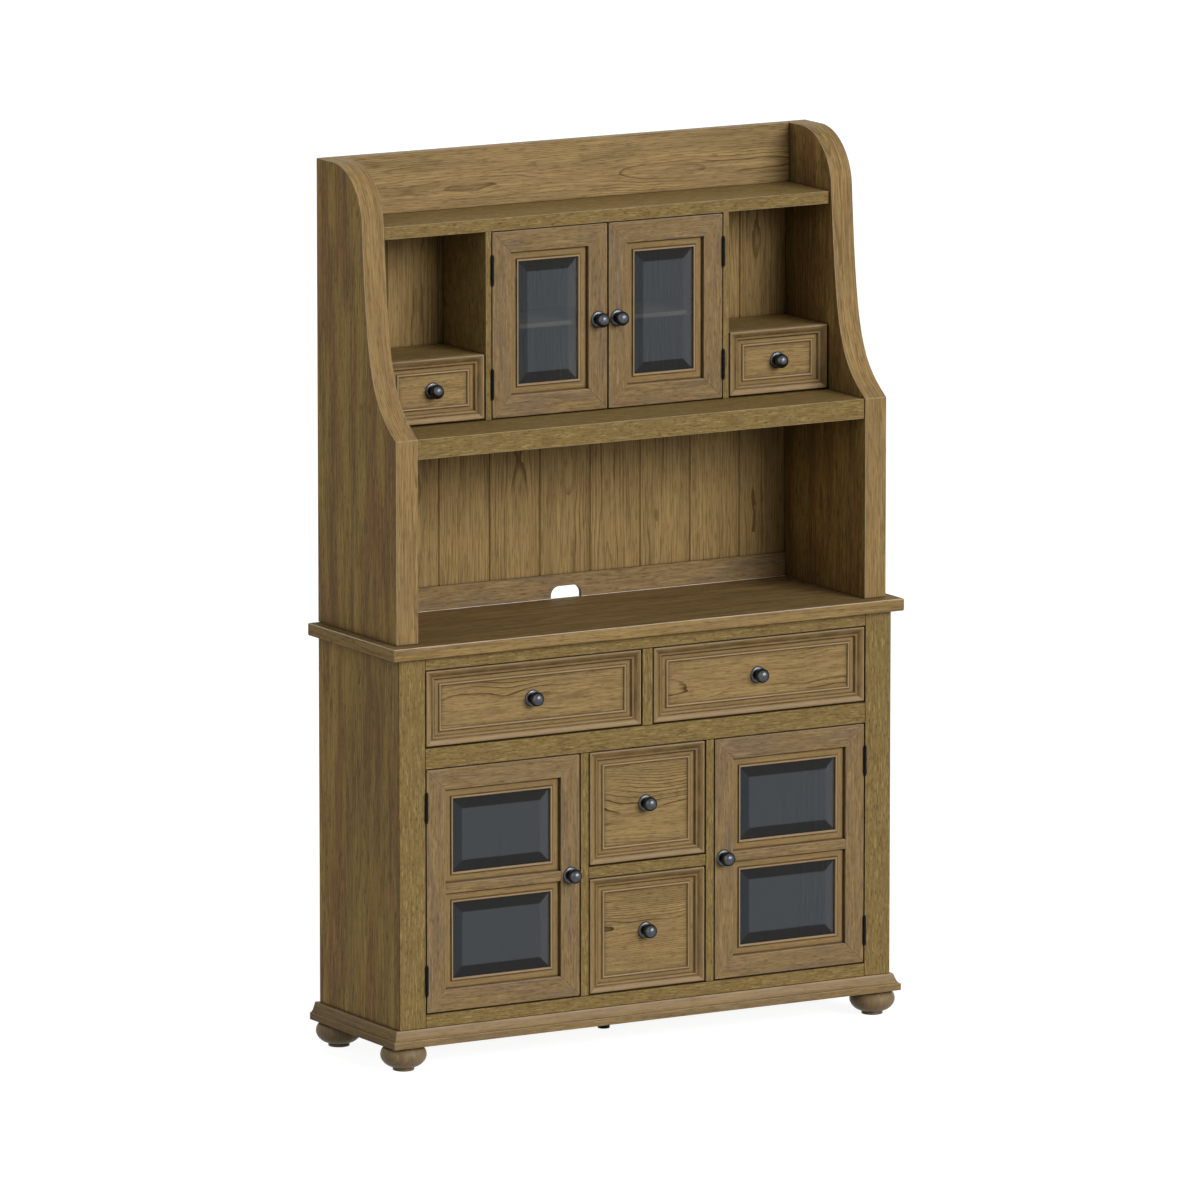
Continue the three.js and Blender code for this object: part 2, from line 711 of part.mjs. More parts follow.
// A door is a frame cut out for its lights, a pane, a knob and two hinges.
function buildDoor(name, side, edges, heights, face, lightHeights, knob, hinges) {
  const lights = lightHeights.map((z) => ({
    x: [edges[0] + doorFrameWidth, edges[1] - doorFrameWidth],
    z,
  }));
  let frame = toManifold(boxBetween(edges, [face, face + doorThickness], heights));
  for (const light of lights) {
    frame = frame.subtract(toManifold(lightCutter(light.x, light.z, face)));
  }
  const rabbet = paneBounds(lights, doorSubFrameWidth + doorBeadWidth - glassOverlap);
  const pocket = [face + glassSetback, face + doorThickness + overrun];
  frame = frame.subtract(toManifold(boxBetween(rabbet.x, pocket, rabbet.z)));
  addPiece(`${name}_frame`, fromManifold(frame), oak);
  buildPane(`${name}_glass`, lights, face);
  addKnob(`${name}_knob`, knob.x, face, knob.z);
  const outerEdge = side > 0 ? edges[1] : edges[0];
  const gap = [outerEdge, outerEdge + side * reveal].sort((low, high) => low - high);
  addHinge(`${name}_hinge_upper`, gap, face, heights[1] - hinges.below);
  addHinge(`${name}_hinge_lower`, gap, face, heights[0] + hinges.above);
}

function buildBaseDoors() {
  const heights = [bayBottom + reveal, bayTop - reveal];
  const railLow = doorMidRailRise - doorMidRailHeight / 2;
  const lightHeights = [
    [railLow + doorMidRailHeight, heights[1] - doorFrameWidth],
    [heights[0] + doorFrameWidth, railLow],
  ];
  for (const [hand, side] of [["left", -1], ["right", 1]]) {
    const edges = mirrored(side, [bayInner + reveal, bayOuter - reveal]);
    const knob = {
      x: side * (bayInner + reveal + doorKnobInset),
      z: railLow + doorMidRailHeight / 2,
    };
    buildDoor(`base_door_${hand}`, side, edges, heights, 0, lightHeights, knob,
      { below: hingeTopOffset, above: hingeBottomOffset });
  }
}

function buildHutchDoors() {
  const heights = [kneeTop + reveal, topShelfBottom - reveal];
  const lightHeights = [[heights[0] + doorFrameWidth, heights[1] - doorFrameWidth]];
  for (const [hand, side] of [["left", -1], ["right", 1]]) {
    const edges = mirrored(side, [meetingGap / 2, hutchBayHalf - reveal]);
    const knob = { x: side * (meetingGap / 2 + doorKnobInset), z: kneeTop + hutchDoorKnobRise };
    buildDoor(`hutch_door_${hand}`, side, edges, heights, upperFront, lightHeights, knob,
      { below: hutchHingeTopOffset, above: hutchHingeBottomOffset });
  }
}

buildCounter();
buildMoulding();
buildFeet();
buildFaceFrame();
buildBaseCarcass();
buildDrawerCase();
buildHutchSides();
buildHutchBack();
buildHutchBoards();
buildBaseDrawers();
buildHutchDrawers();
buildBaseDoors();
buildHutchDoors();

// The origin is on the floor under the middle of the dresser's outline, knobs and feet included.
const frontReach = Math.max(
  knobStandoff + knobBallHalfLength,
  counterFrontOverhang,
  footRadius - footFrontY,
);
const backReach = Math.max(counterBack, footBackY + footRadius);
dresser.position.y = (frontReach - backReach) / 2;

export default dresser;
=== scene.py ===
"""A dresser with a hutch in weathered oak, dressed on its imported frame."""

import logging
import math
import random
from collections.abc import Callable, Iterable, Iterator
from contextlib import contextmanager
from dataclasses import dataclass
from enum import Enum
from typing import Any

import bmesh
import bpy
import numpy as np
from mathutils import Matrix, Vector


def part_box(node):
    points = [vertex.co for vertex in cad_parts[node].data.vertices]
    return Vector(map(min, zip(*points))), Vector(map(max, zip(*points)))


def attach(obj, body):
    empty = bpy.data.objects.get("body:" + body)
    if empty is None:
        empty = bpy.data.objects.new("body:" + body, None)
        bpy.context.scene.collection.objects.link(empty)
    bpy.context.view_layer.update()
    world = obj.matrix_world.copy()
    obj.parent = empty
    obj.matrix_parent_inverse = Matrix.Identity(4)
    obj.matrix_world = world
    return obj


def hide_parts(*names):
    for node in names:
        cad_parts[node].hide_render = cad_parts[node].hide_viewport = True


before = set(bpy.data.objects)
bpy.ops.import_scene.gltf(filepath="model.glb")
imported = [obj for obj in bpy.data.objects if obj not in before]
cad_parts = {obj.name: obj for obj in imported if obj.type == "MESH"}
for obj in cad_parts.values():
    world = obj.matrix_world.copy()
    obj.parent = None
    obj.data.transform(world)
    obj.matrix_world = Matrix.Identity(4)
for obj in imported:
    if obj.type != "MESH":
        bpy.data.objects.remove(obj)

log = logging.getLogger("dresser")

MM = 0.001
FACE_Y = -167.4  # the face frame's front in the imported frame, in mm
SMOOTH_BELOW = math.radians(35)  # faces that turn less than this are shaded as one
CORNER_ABOVE = math.radians(24)  # edges that turn more than this are rounded
FACING = 0.9  # how much of a face's normal points to the side that it faces
WHITE = (1.0, 1.0, 1.0, 1.0)

# Where each board lay in the trunk, in metres, which sets its grain apart from the others.
TRUNK_ALONG = 6.0
TRUNK_ACROSS = 0.03
FROM_PITH = (0.03, 0.12)

# How a moulding's slope paints light into its colour: faces that lean up or to the right are
# painted lighter as a highlight, faces that lean away are painted darker as shade, and the slope
# counts within these limits.
PAINTED_LIGHT_UP = (-0.25, 0.3)
PAINTED_LIGHT_RIGHT = (-0.3, 0.06)
PAINTED_LIGHT_RIGHT_SHARE = 0.65
PAINTED_LIGHT_SHARE = 2.6

Span = tuple[float, float]
Point = tuple[float, float, float]
Piece = bpy.types.Object
Tree = bpy.types.NodeTree
Socket = bpy.types.NodeSocket
Test = Callable[[Vector, Vector], bool]  # whether a face with this centre and normal is meant


class Axis(Enum):
    """The way that a board's grain runs."""

    X = 0
    Y = 1
    Z = 2


class Slot(Enum):
    """The record's material slots."""

    OAK = "weathered_oak"
    INNER = "inner_wood"
    GLASS = "smoked_glass"
    KNOB = "knob_metal"
    HINGE = "hinge_metal"


def linear(hex_colour: str) -> tuple[float, float, float, float]:
    """Turns an sRGB hex colour into linear red, green, blue and alpha.

    Args:
        hex_colour: six hex digits, with or without the hash sign.

    Returns:
        The linear colour with an alpha of 1.
    """
    digits = hex_colour.lstrip("#")
    shares = [int(digits[i : i + 2], 16) / 255 for i in (0, 2, 4)]
    red, green, blue = (
        s / 12.92 if s <= 0.04045 else ((s + 0.055) / 1.055) ** 2.4 for s in shares
    )
    return red, green, blue, 1.0


def spot(x: float, y: float, z: float) -> Vector:
    """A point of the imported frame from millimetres, y counted back from the face."""
    return Vector((x, y + FACE_Y, z)) * MM


def span_of(node: str) -> tuple[Point, Point]:
    """Reads a node's box.

    Args:
        node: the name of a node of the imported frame.

    Returns:
        Its lowest and highest corners in millimetres, y counted back from the face.
    """
    low, high = (tuple(c / MM for c in corner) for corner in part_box(node))
    return (
        (low[0], low[1] - FACE_Y, low[2]),
        (high[0], high[1] - FACE_Y, high[2]),
    )


def add_node(
    tree: Tree,
    kind: str,
    inputs: dict[str | int, Any],
    output: str | int = 0,
    **settings: Any,
) -> Socket | None:
    """Adds a shader node with its settings and links.

    Args:
        tree: the tree that the node joins.
        kind: the node's Blender type.
        inputs: for each socket, the output that feeds it or its value.
        output: the output that is wanted.
        settings: values of the node's own properties.

    Returns:
        The wanted output, or nothing from a node at the tree's end.
    """
    node = tree.nodes.new(kind)
    for name, value in settings.items():
        setattr(node, name, value)
    for key, value in inputs.items():
        if isinstance(value, Socket):
            tree.links.new(value, node.inputs[key])
        else:
            node.inputs[key].default_value = value
    return node.outputs[output] if node.outputs else None


def looked_at(tree: Tree) -> Socket:
    """Tells what the camera, a gloss or a glass looks at from what only gives light.

    Args:
        tree: the tree that asks.

    Returns:
        1 for a camera, glossy or transmission ray, and 0 for any other.
    """
    rays = add_node(tree, "ShaderNodeLightPath", {}).node.outputs
    seen = rays["Is Camera Ray"]
    for ray in ("Is Glossy Ray", "Is Transmission Ray"):
        seen = add_node(tree, "ShaderNodeMath", {0: seen, 1: rays[ray]}, operation="MAXIMUM")
    return seen


@dataclass(frozen=True)
class Marks:
    """One kind of mark in the wood, drawn by noise that is stretched along the grain."""

    length: float  # mm along the grain
    width: float  # mm across it
    low: float  # the noise where the mark starts to show
    high: float  # the noise where it is as strong as it gets
    amount: float
    tint: str


@dataclass(frozen=True)
class Rings:
    """Growth rings cut by the saw, which show as long arches on a flat board."""

    period: float  # mm from ring to ring
    amount: float
    tint: str
    wander: float  # mm that the rings stray across the board
    climb: float  # mm that the trunk leans in and out of the board


class Grain:
    """The patterns of the wood, drawn in the space that each board's grain runs through."""

    stray: Point = (2.2, 4.0, 4.0)  # clouds per metre that lead the rings astray
    quiver: Point = (18.0, 90.0, 90.0)  # clouds per metre that make them quiver
    quiver_reach: Span = (0.9, 1.2)  # mm
    ring_patch: Point = (4.0, 16.0, 16.0)  # clouds per metre that show the rings
    wear_patch: Point = (22.0, 60.0, 60.0)  # clouds per metre that make the wear and painted light uneven
    clean: float = 0.9  # how open a point is where no glaze stays

    def __init__(self, tree: Tree) -> None:
        """Reads the place along, across and through the board, in metres."""
        self.tree = tree
        self.place = add_node(
            tree, "ShaderNodeAttribute", {}, "Vector", attribute_name="grain"
        )

    def cloud(
        self,
        scale: Point,
        detail: float = 2.0,
        shift: Point = (0.0, 0.0, 0.0),
        output: str | int = 0,
    ) -> Socket:
        """Draws a cloud that is stretched along the grain.

        Args:
            scale: how many clouds there are in a metre, each way.
            detail: how fine the cloud gets.
            shift: how far it is moved away from the others.
            output: the noise's output.

        Returns:
            The cloud.
        """
        place = add_node(
            self.tree,
            "ShaderNodeMapping",
            {"Vector": self.place, "Location": shift, "Scale": scale},
        )
        noise = {"Vector": place, "Scale": 1.0, "Detail": detail}
        return add_node(self.tree, "ShaderNodeTexNoise", noise, output)

    def marks(self, mark: Marks, number: int) -> Socket:
        """Draws one kind of mark.

        Args:
            mark: the mark's size and strength.
            number: its place in the list, which shifts its noise away from the others.

        Returns:
            How much of the mark's tint each point takes.
        """
        across = 1 / mark.width / MM
        noise = self.cloud(
            (1 / mark.length / MM, across, across),
            shift=(3.1 * number, 7.7 * number, 5.3 * number),
        )
        return add_node(
            self.tree,
            "ShaderNodeMapRange",
            {0: noise, 1: mark.low, 2: mark.high, 3: 0.0, 4: mark.amount},
            interpolation_type="SMOOTHSTEP",
        )

    def rings(self, rings: Rings) -> Socket:
        """Draws growth rings that stray, quiver and show in patches.

        Args:
            rings: the rings' size and strength.

        Returns:
            How much of the rings' tint each point takes.
        """
        place = self.place
        for scale, detail, (across, through) in (
            (self.stray, 2.5, (rings.wander, rings.climb)),
            (self.quiver, 2.0, self.quiver_reach),
        ):
            cloud = self.cloud(scale, detail, output="Color")
            place = add_node(
                self.tree,
                "ShaderNodeVectorMath",
                {0: cloud, 1: (0.0, across * MM, through * MM), 2: place},
                operation="MULTIPLY_ADD",
            )
        # A wave of scale 1 turns 20 times in 2 pi metres.
        waves = 2 * math.pi / (20 * rings.period * MM)
        wave = add_node(
            self.tree,
            "ShaderNodeTexWave",
            {"Vector": place, "Scale": waves, "Distortion": 0.0},
            "Fac",
            wave_type="RINGS",
            rings_direction="X",
            wave_profile="SAW",
        )
        patch = self.cloud(self.ring_patch, shift=(9.0, 2.0, 4.0))
        line, shown = (
            add_node(
                self.tree,
                "ShaderNodeMapRange",
                {0: value, 1: low, 2: high, 3: least, 4: most},
                interpolation_type="SMOOTHSTEP",
            )
            for value, low, high, least, most in (
                (wave, 0.70, 0.98, 0.0, rings.amount),
                (patch, 0.40, 0.60, 0.15, 1.0),
            )
        )
        return add_node(self.tree, "ShaderNodeMath", {0: line, 1: shown}, operation="MULTIPLY")

    def recess(self, reach: float, full: float, amount: float) -> Socket:
        """Finds what lies in a recess: the glaze near a corner, and painted shade over a wide
        reach.

        Args:
            reach: how far from a corner it starts, in millimetres.
            full: how open a point is where the dark colour is strongest.
            amount: how much of the dark colour is laid there.

        Returns:
            How much of the dark colour each point takes.
        """
        space = {"Distance": reach * MM}
        free = add_node(self.tree, "ShaderNodeAmbientOcclusion", space, "AO", samples=6)
        return add_node(
            self.tree,
            "ShaderNodeMapRange",
            {0: free, 1: full, 2: self.clean, 3: amount, 4: 0.0},
            interpolation_type="SMOOTHSTEP",
        )

    def wear(self, glazed: float, rubbed: float) -> Iterator[Socket]:
        """Finds a moulding's hollows and ridges, with the painted highlight and shade of its
        slope.

        Args:
            glazed: how much of the glaze and painted shade stays in its deepest hollows.
            rubbed: how far its highest ridges are rubbed and painted as lit.

        Yields:
            How much glaze and painted shade each point has, then how far it is rubbed and painted
            as lit.
        """
        wear = add_node(self.tree, "ShaderNodeAttribute", {}, "Fac", attribute_name="wear")
        patch = self.cloud(self.wear_patch, 3.0)
        uneven = add_node(
            self.tree, "ShaderNodeMapRange", {0: patch, 1: 0.3, 2: 0.7, 3: 0.6, 4: 1.1}
        )
        for most_worn, amount in ((-1.0, glazed), (1.0, rubbed)):
            share = add_node(
                self.tree, "ShaderNodeMapRange", {0: wear, 1: 0.0, 2: most_worn, 4: amount}
            )
            yield add_node(
                self.tree,
                "ShaderNodeMath",
                {0: share, 1: uneven},
                operation="MULTIPLY",
                use_clamp=True,
            )


@dataclass(frozen=True)
class Finish:
    """A finish that is drawn once and shared by every piece that asks for it."""

    name: str

    def material(self) -> bpy.types.Material:
        """Draws the finish, unless that is done.

        Returns:
            The material of this finish.
        """
        material = bpy.data.materials.get(self.name)
        if material is None:
            material = bpy.data.materials.new(self.name)
            material.use_nodes = True
            tree = material.node_tree
            tree.nodes.clear()
            add_node(tree, "ShaderNodeOutputMaterial", {0: self.shader(tree)})
        return material

    def shader(self, tree: Tree) -> Socket:
        """Draws the finish into an empty tree, each kind of finish in its own way."""
        raise NotImplementedError


@dataclass(frozen=True)
class Oak(Finish):
    """Oak, planed and brushed, stained and wiped with a dark glaze.

    The brushing opens the pores into short dark lines, the stain leaves a dull sheen, and the
    glaze stays in corners and joints. Shade is painted into the colour as well: darker deep in
    recesses, and lighter or darker where a moulding leans toward or away from the light.
    """

    body: str
    marks: tuple[Marks, ...]
    rings: Rings | None = None
    # The glaze colour also paints the shade deep in recesses and on mouldings that lean away from
    # the light.
    glaze: str = "#33230F"
    glaze_and_shade_amount: float = 0.75
    painted_recess_shade: float = 0.0  # painted shade: how much darker the wood is painted deep in a recess
    painted_recess_shade_reach: float = 130.0  # mm
    roughness: float = 0.58
    gloss: float = 0.12

    # What all the oak has in common.
    # The rubbed colour is also the painted highlight where a moulding leans toward the light.
    rubbed = "#A9937A"
    rubbed_and_highlight_amount = 0.8
    glaze_reach = 9.0  # mm from a corner
    glaze_full = 0.25  # how open a corner is where all of the glaze has stayed
    relief = 0.25
    pore_depth = 0.4  # mm
    index = 1.45

    def shader(self, tree: Tree) -> Socket:
        """Lays marks, rings, glaze, painted shade and wear with painted light over the stain, and
        sinks the last marks.

        Args:
            tree: the tree that is drawn into.

        Returns:
            The shader.
        """
        grain = Grain(tree)
        layers = [
            (grain.marks(mark, number), mark.tint)
            for number, mark in enumerate(self.marks, 1)
        ]
        pores = layers[-1][0]
        if self.rings:
            layers.append((grain.rings(self.rings), self.rings.tint))
        kept = grain.recess(self.glaze_reach, self.glaze_full, self.glaze_and_shade_amount)
        layers.append((kept, self.glaze))
        # Painted shade: the glaze colour is laid over a wide reach deep in recesses, where shade
        # falls.
        if self.painted_recess_shade:
            layers.append((grain.recess(self.painted_recess_shade_reach, 0.0, self.painted_recess_shade), self.glaze))
        wear = grain.wear(self.glaze_and_shade_amount, self.rubbed_and_highlight_amount)
        layers += zip(wear, (self.glaze, self.rubbed), strict=True)
        colour = linear(self.body)
        for share, tint in layers:
            both = {0: share, 6: colour, 7: linear(tint)}
            colour = add_node(tree, "ShaderNodeMix", both, 2, data_type="RGBA")
        dent = {"Strength": self.relief, "Distance": self.pore_depth * MM, "Height": pores}
        return add_node(
            tree,
            "ShaderNodeBsdfPrincipled",
            {
                "Base Color": colour,
                "Roughness": self.roughness,
                "IOR": self.index,
                "Specular IOR Level": self.gloss,
                "Normal": add_node(tree, "ShaderNodeBump", dent, invert=True),
            },
        )


# Pores are 0.3 mm wide on real oak, and are drawn 2 to 3 mm wide so that they show in the render.
# Oak, brushed and stained olive brown: fine short pores, low contrast, hardly any sheen.
FACE_OAK = Oak(
    "oak_face_frame_brushed",
    "#846E42",
    (
        Marks(220, 30, 0.35, 0.72, 0.35, "#75623B"),
        Marks(50, 4.5, 0.44, 0.68, 0.43, "#584521"),
        Marks(34, 3.2, 0.50, 0.72, 0.43, "#B29C65"),
        Marks(12, 1.9, 0.52, 0.66, 0.58, "#453418"),
    ),
)
# Oak, brushed and washed grey over the stain: cooler and pinker than the face frame.
DOOR_OAK = Oak(
    "oak_door_frame_washed",
    "#89714C",
    (
        Marks(170, 26, 0.42, 0.64, 0.39, "#6A5E55"),
        Marks(80, 4, 0.42, 0.68, 0.36, "#564227"),
        Marks(60, 5, 0.50, 0.72, 0.34, "#B19369"),
        Marks(18, 1.8, 0.52, 0.66, 0.48, "#3F2E19"),
    ),
)
# Flat-sawn oak, stained: warm, with long arches of dark growth rings.
PANEL_OAK = Oak(
    "oak_drawer_panel_stained",
    "#997F54",
    (
        Marks(220, 24, 0.38, 0.66, 0.29, "#715E3E"),
        Marks(90, 3.6, 0.42, 0.68, 0.31, "#574221"),
        Marks(70, 5, 0.50, 0.72, 0.30, "#BA9F61"),
        Marks(20, 1.8, 0.52, 0.66, 0.43, "#402E16"),
    ),
    Rings(2.8, 1.0, "#402A0D", 4, 34),
)
# Flat-sawn oak planks, stained: arched rings, and darker where the shelves shade them.
BEADBOARD_OAK = Oak(
    "oak_beadboard_stained",
    "#977D50",
    (
        Marks(260, 22, 0.40, 0.68, 0.32, "#6E5939"),
        Marks(160, 3.4, 0.44, 0.66, 0.34, "#4E371C"),
        Marks(120, 5, 0.50, 0.72, 0.30, "#B99B63"),
        Marks(34, 1.8, 0.52, 0.66, 0.42, "#372711"),
    ),
    Rings(2.8, 0.75, "#432D0E", 3, 22),
    painted_recess_shade=0.45,
)
# Oak end boards, stained: olive with broad red-brown streaks, and strong painted shade deep
# inside the hutch.
SIDE_OAK = Oak(
    "oak_side_panel_stained",
    "#A6884C",
    (
        Marks(420, 48, 0.43, 0.57, 0.62, "#805638"),
        Marks(300, 30, 0.44, 0.60, 0.46, "#6B5736"),
        Marks(190, 3.4, 0.42, 0.66, 0.40, "#513C1D"),
        Marks(130, 5, 0.50, 0.70, 0.36, "#C4A664"),
        Marks(26, 1.9, 0.52, 0.64, 0.62, "#3C2A12"),
    ),
    Rings(2.9, 0.50, "#49320F", 4, 24),
    glaze="#211A10",
    painted_recess_shade=0.84,
    painted_recess_shade_reach=225.0,
)
# Flat-sawn oak, washed grey over the stain: paler, with dark arches.
BACKBOARD_OAK = Oak(
    "oak_backboard_stained",
    "#A0865A",
    (
        Marks(260, 26, 0.40, 0.62, 0.42, "#776347"),
        Marks(150, 3.4, 0.42, 0.68, 0.34, "#553F21"),
        Marks(110, 5, 0.50, 0.72, 0.34, "#B99D6B"),
        Marks(30, 1.8, 0.52, 0.66, 0.45, "#3E2C13"),
    ),
    Rings(2.8, 0.85, "#4B3618", 4, 30),
)
# Oak sticks, moulded and glazed: plain grain, so that the glaze draws the profile.
STICK_OAK = Oak(
    "oak_moulding_stick_stained",
    "#90764D",
    (
        Marks(220, 24, 0.38, 0.66, 0.34, "#776445"),
        Marks(110, 3.2, 0.42, 0.68, 0.22, "#584324"),
        Marks(80, 4, 0.50, 0.72, 0.24, "#B59A64"),
        Marks(16, 1.7, 0.54, 0.68, 0.36, "#433219"),
    ),
)
# Glaze left in the joints of the face frame: thin, nearly black brown lines.
JOINT_OAK = Oak(
    "oak_joint_glazed",
    "#32260F",
    (Marks(30, 3, 0.40, 0.70, 0.60, "#241A08"),),
    roughness=0.8,
    gloss=0.03,
)
# Oak lippings, washed: the pale front edges of the hutch ends.
LIPPING_OAK = Oak(
    "oak_hutch_lipping_washed",
    "#997E53",
    (
        Marks(280, 20, 0.40, 0.68, 0.36, "#79674C"),
        Marks(160, 3.4, 0.42, 0.68, 0.40, "#644A2A"),
        Marks(110, 5, 0.50, 0.72, 0.35, "#BEA16B"),
        Marks(34, 1.8, 0.52, 0.66, 0.48, "#4A361E"),
    ),
    Rings(2.8, 0.45, "#4E3A1C", 4, 26),
    gloss=0.05,
)
# Oak counter edge, washed: the palest boards on the piece.
COUNTER_OAK = Oak(
    "oak_counter_edge_washed",
    "#9A8051",
    (
        Marks(280, 22, 0.40, 0.66, 0.40, "#74614F"),
        Marks(150, 3.6, 0.42, 0.68, 0.39, "#594228"),
        Marks(100, 5, 0.50, 0.72, 0.36, "#B89A6F"),
        Marks(28, 1.8, 0.52, 0.66, 0.49, "#43301A"),
    ),
    gloss=0.05,
)
# Oak counter top, stained dark: long streaks, and painted shade under the hutch.
COUNTER_TOP_OAK = Oak(
    "oak_counter_top_stained",
    "#8D744A",
    (
        Marks(280, 30, 0.40, 0.66, 0.44, "#6E5A3C"),
        Marks(180, 5, 0.42, 0.68, 0.49, "#523A1E"),
        Marks(120, 8, 0.50, 0.72, 0.41, "#B0925C"),
        Marks(34, 2.4, 0.52, 0.66, 0.48, "#3E2C14"),
    ),
    Rings(2.8, 0.50, "#422D0E", 4, 28),
    painted_recess_shade=0.35,
    roughness=0.78,
)
# Oak edges rubbed through by hand: thin pale lines along the arrises.
WORN_OAK = Oak(
    "oak_edge_rubbed",
    "#A28E6C",
    (
        Marks(50, 9, 0.40, 0.65, 0.70, "#8B7350"),
        Marks(12, 3, 0.50, 0.75, 0.30, "#75603E"),
    ),
    glaze_and_shade_amount=0.85,
    roughness=0.5,
    gloss=0.1,
)
# Counter edge rubbed through to the washed wood, and painted as a highlight: one thin, nearly
# white line.
COUNTER_RUBBED_HIGHLIGHT_OAK = Oak(
    "oak_counter_edge_rubbed",
    "#C8BAAD",
    (
        Marks(60, 9, 0.40, 0.65, 0.50, "#9C8870"),
        Marks(16, 3, 0.50, 0.75, 0.30, "#857055"),
    ),
    glaze_and_shade_amount=0.0,
    roughness=0.36,
    gloss=0.4,
)
# Oak plinth, moulded and washed: soft grain under a pinkish grey wash.
MOULDING_OAK = Oak(
    "oak_moulding_washed",
    "#8B734B",
    (
        Marks(180, 20, 0.40, 0.66, 0.42, "#6B5E4F"),
        Marks(90, 3.6, 0.42, 0.68, 0.29, "#564024"),
        Marks(60, 5, 0.50, 0.72, 0.25, "#AC936A"),
        Marks(22, 1.8, 0.52, 0.66, 0.39, "#422F1B"),
    ),
)
# Oak-faced board, sanded and left plain: even light brown inside the cabinet.
INNER_OAK = Oak(
    "oak_inner_board_sanded",
    "#8A7048",
    (
        Marks(260, 30, 0.40, 0.72, 0.45, "#7A6240"),
        Marks(120, 6, 0.45, 0.78, 0.40, "#6B5334"),
        Marks(26, 2.2, 0.52, 0.72, 0.30, "#5E482C"),
    ),
    glaze_and_shade_amount=0.35,
)
# Oak-faced shelf, sanded, and painted pale as painted light, so that it shows through the smoked
# glass.
SHELF_PAINTED_LIGHT_OAK = Oak(
    "oak_inner_shelf_sanded",
    "#B39668",
    (Marks(180, 5, 0.42, 0.70, 0.40, "#8A6A3C"),),
    glaze_and_shade_amount=0.2,
)
# Oak feet, turned and glazed: grain hardly shows, the round gives a soft sheen.
FOOT_OAK = Oak(
    "oak_foot_turned",
    "#7E6947",
    (
        Marks(80, 12, 0.40, 0.66, 0.36, "#66584B"),
        Marks(60, 3.4, 0.42, 0.68, 0.28, "#503C21"),
        Marks(44, 5, 0.50, 0.72, 0.23, "#A2895E"),
        Marks(16, 1.8, 0.52, 0.66, 0.33, "#3E2A18"),
    ),
    roughness=0.5,
    gloss=0.3,
)


@dataclass(frozen=True)
class Metal(Finish):
    """Blackened metal under a thin coat: dark, darker at its rim, with a soft highlight."""

    tint: str
    roughness: float
    metallic: float
    coat: float

    # What all the blackening has in common.
    black = "#1C1E20"
    clouds = 160.0  # in a metre
    unevenness = (-0.06, 0.1)  # what the clouds add to the roughness
    rim = (0.10, 0.10, 0.11, 1.0)  # what it gives back at a slant
    coat_roughness = 0.28

    def shader(self, tree: Tree) -> Socket:
        """Clouds the blackening and its dullness.

        Args:
            tree: the tree that is drawn into.

        Returns:
            The shader.
        """
        place = add_node(tree, "ShaderNodeTexCoord", {}, "Object")
        noise = {"Vector": place, "Scale": self.clouds, "Detail": 3.0}
        cloud = add_node(tree, "ShaderNodeTexNoise", noise)
        both = {0: cloud, 6: linear(self.tint), 7: linear(self.black)}
        least, most = (self.roughness + more for more in self.unevenness)
        return add_node(
            tree,
            "ShaderNodeBsdfPrincipled",
            {
                "Base Color": add_node(tree, "ShaderNodeMix", both, 2, data_type="RGBA"),
                "Metallic": self.metallic,
                "Roughness": add_node(
                    tree, "ShaderNodeMapRange", {0: cloud, 3: least, 4: most}
                ),
                "Specular Tint": self.rim,
                "Coat Weight": self.coat,
                "Coat Roughness": self.coat_roughness,
            },
        )


# Cast zinc, blackened and lacquered: a soft grey highlight on nearly black metal.
KNOB_ZINC = Metal("zinc_knob_blackened", "#5A5D62", 0.30, 1.0, 0.3)
# Rolled iron, blackened: dull and dark.
HINGE_IRON = Metal("iron_hinge_blackened", "#17181B", 0.6, 0.2, 0.0)
# Black polypropylene, moulded: matt, and drawn like the blackened metals.
SUPPORT_PLASTIC = Metal("plastic_support_moulded", "#141414", 0.6, 0.0, 0.0)


@dataclass(frozen=True)
class Glass(Finish):
    """Smoked float glass with a polished bevel: a grey veil over a dark cabinet."""

    tint: str  # what passes through
    veil: str  # what it gives back
    haze: float = 0.0215

    # What all the glass has in common.
    index = 1.36  # below glass's own 1.5, because the haze gives back the rest
    roughness = 0.04

    def shader(self, tree: Tree) -> Socket:
        """Lays a faint haze and the room's reflection over what shows through.

        Args:
            tree: the tree that is drawn into.

        Returns:
            The shader.
        """
        veil = linear(self.veil)
        through = add_node(tree, "ShaderNodeBsdfTransparent", {"Color": linear(self.tint)})
        shine = add_node(
            tree, "ShaderNodeBsdfGlossy", {"Color": veil, "Roughness": self.roughness}
        )
        haze = add_node(tree, "ShaderNodeBsdfDiffuse", {"Color": veil})
        clear = add_node(tree, "ShaderNodeMixShader", {0: self.haze, 1: through, 2: haze})
        back = add_node(tree, "ShaderNodeFresnel", {"IOR": self.index})
        return add_node(tree, "ShaderNodeMixShader", {0: back, 1: clear, 2: shine})


# Smoked float glass: grey over the dark cabinet, and mirrors the room at a slant.
PANE_GLASS = Glass("glass_pane_smoked", "#CAD3DB", "#F5FBFF")
# Its ground and polished bevels are copies of it with painted reflection and shade by the way
# they face: darkest on the level bevels, dimmer on the left ones, brightest on the right ones.
BEVEL_PAINTED_DARK = Glass("glass_bevel_level_smoked", "#A4A8AA", "#A49E9A", 0.03)
BEVEL_PAINTED_DIM = Glass("glass_bevel_upright_smoked", "#B8BCBE", "#C0C8D0", 0.023)
BEVEL_PAINTED_BRIGHT = Glass("glass_bevel_lit_smoked", "#CAD3DB", "#FCF8F8", 0.033)


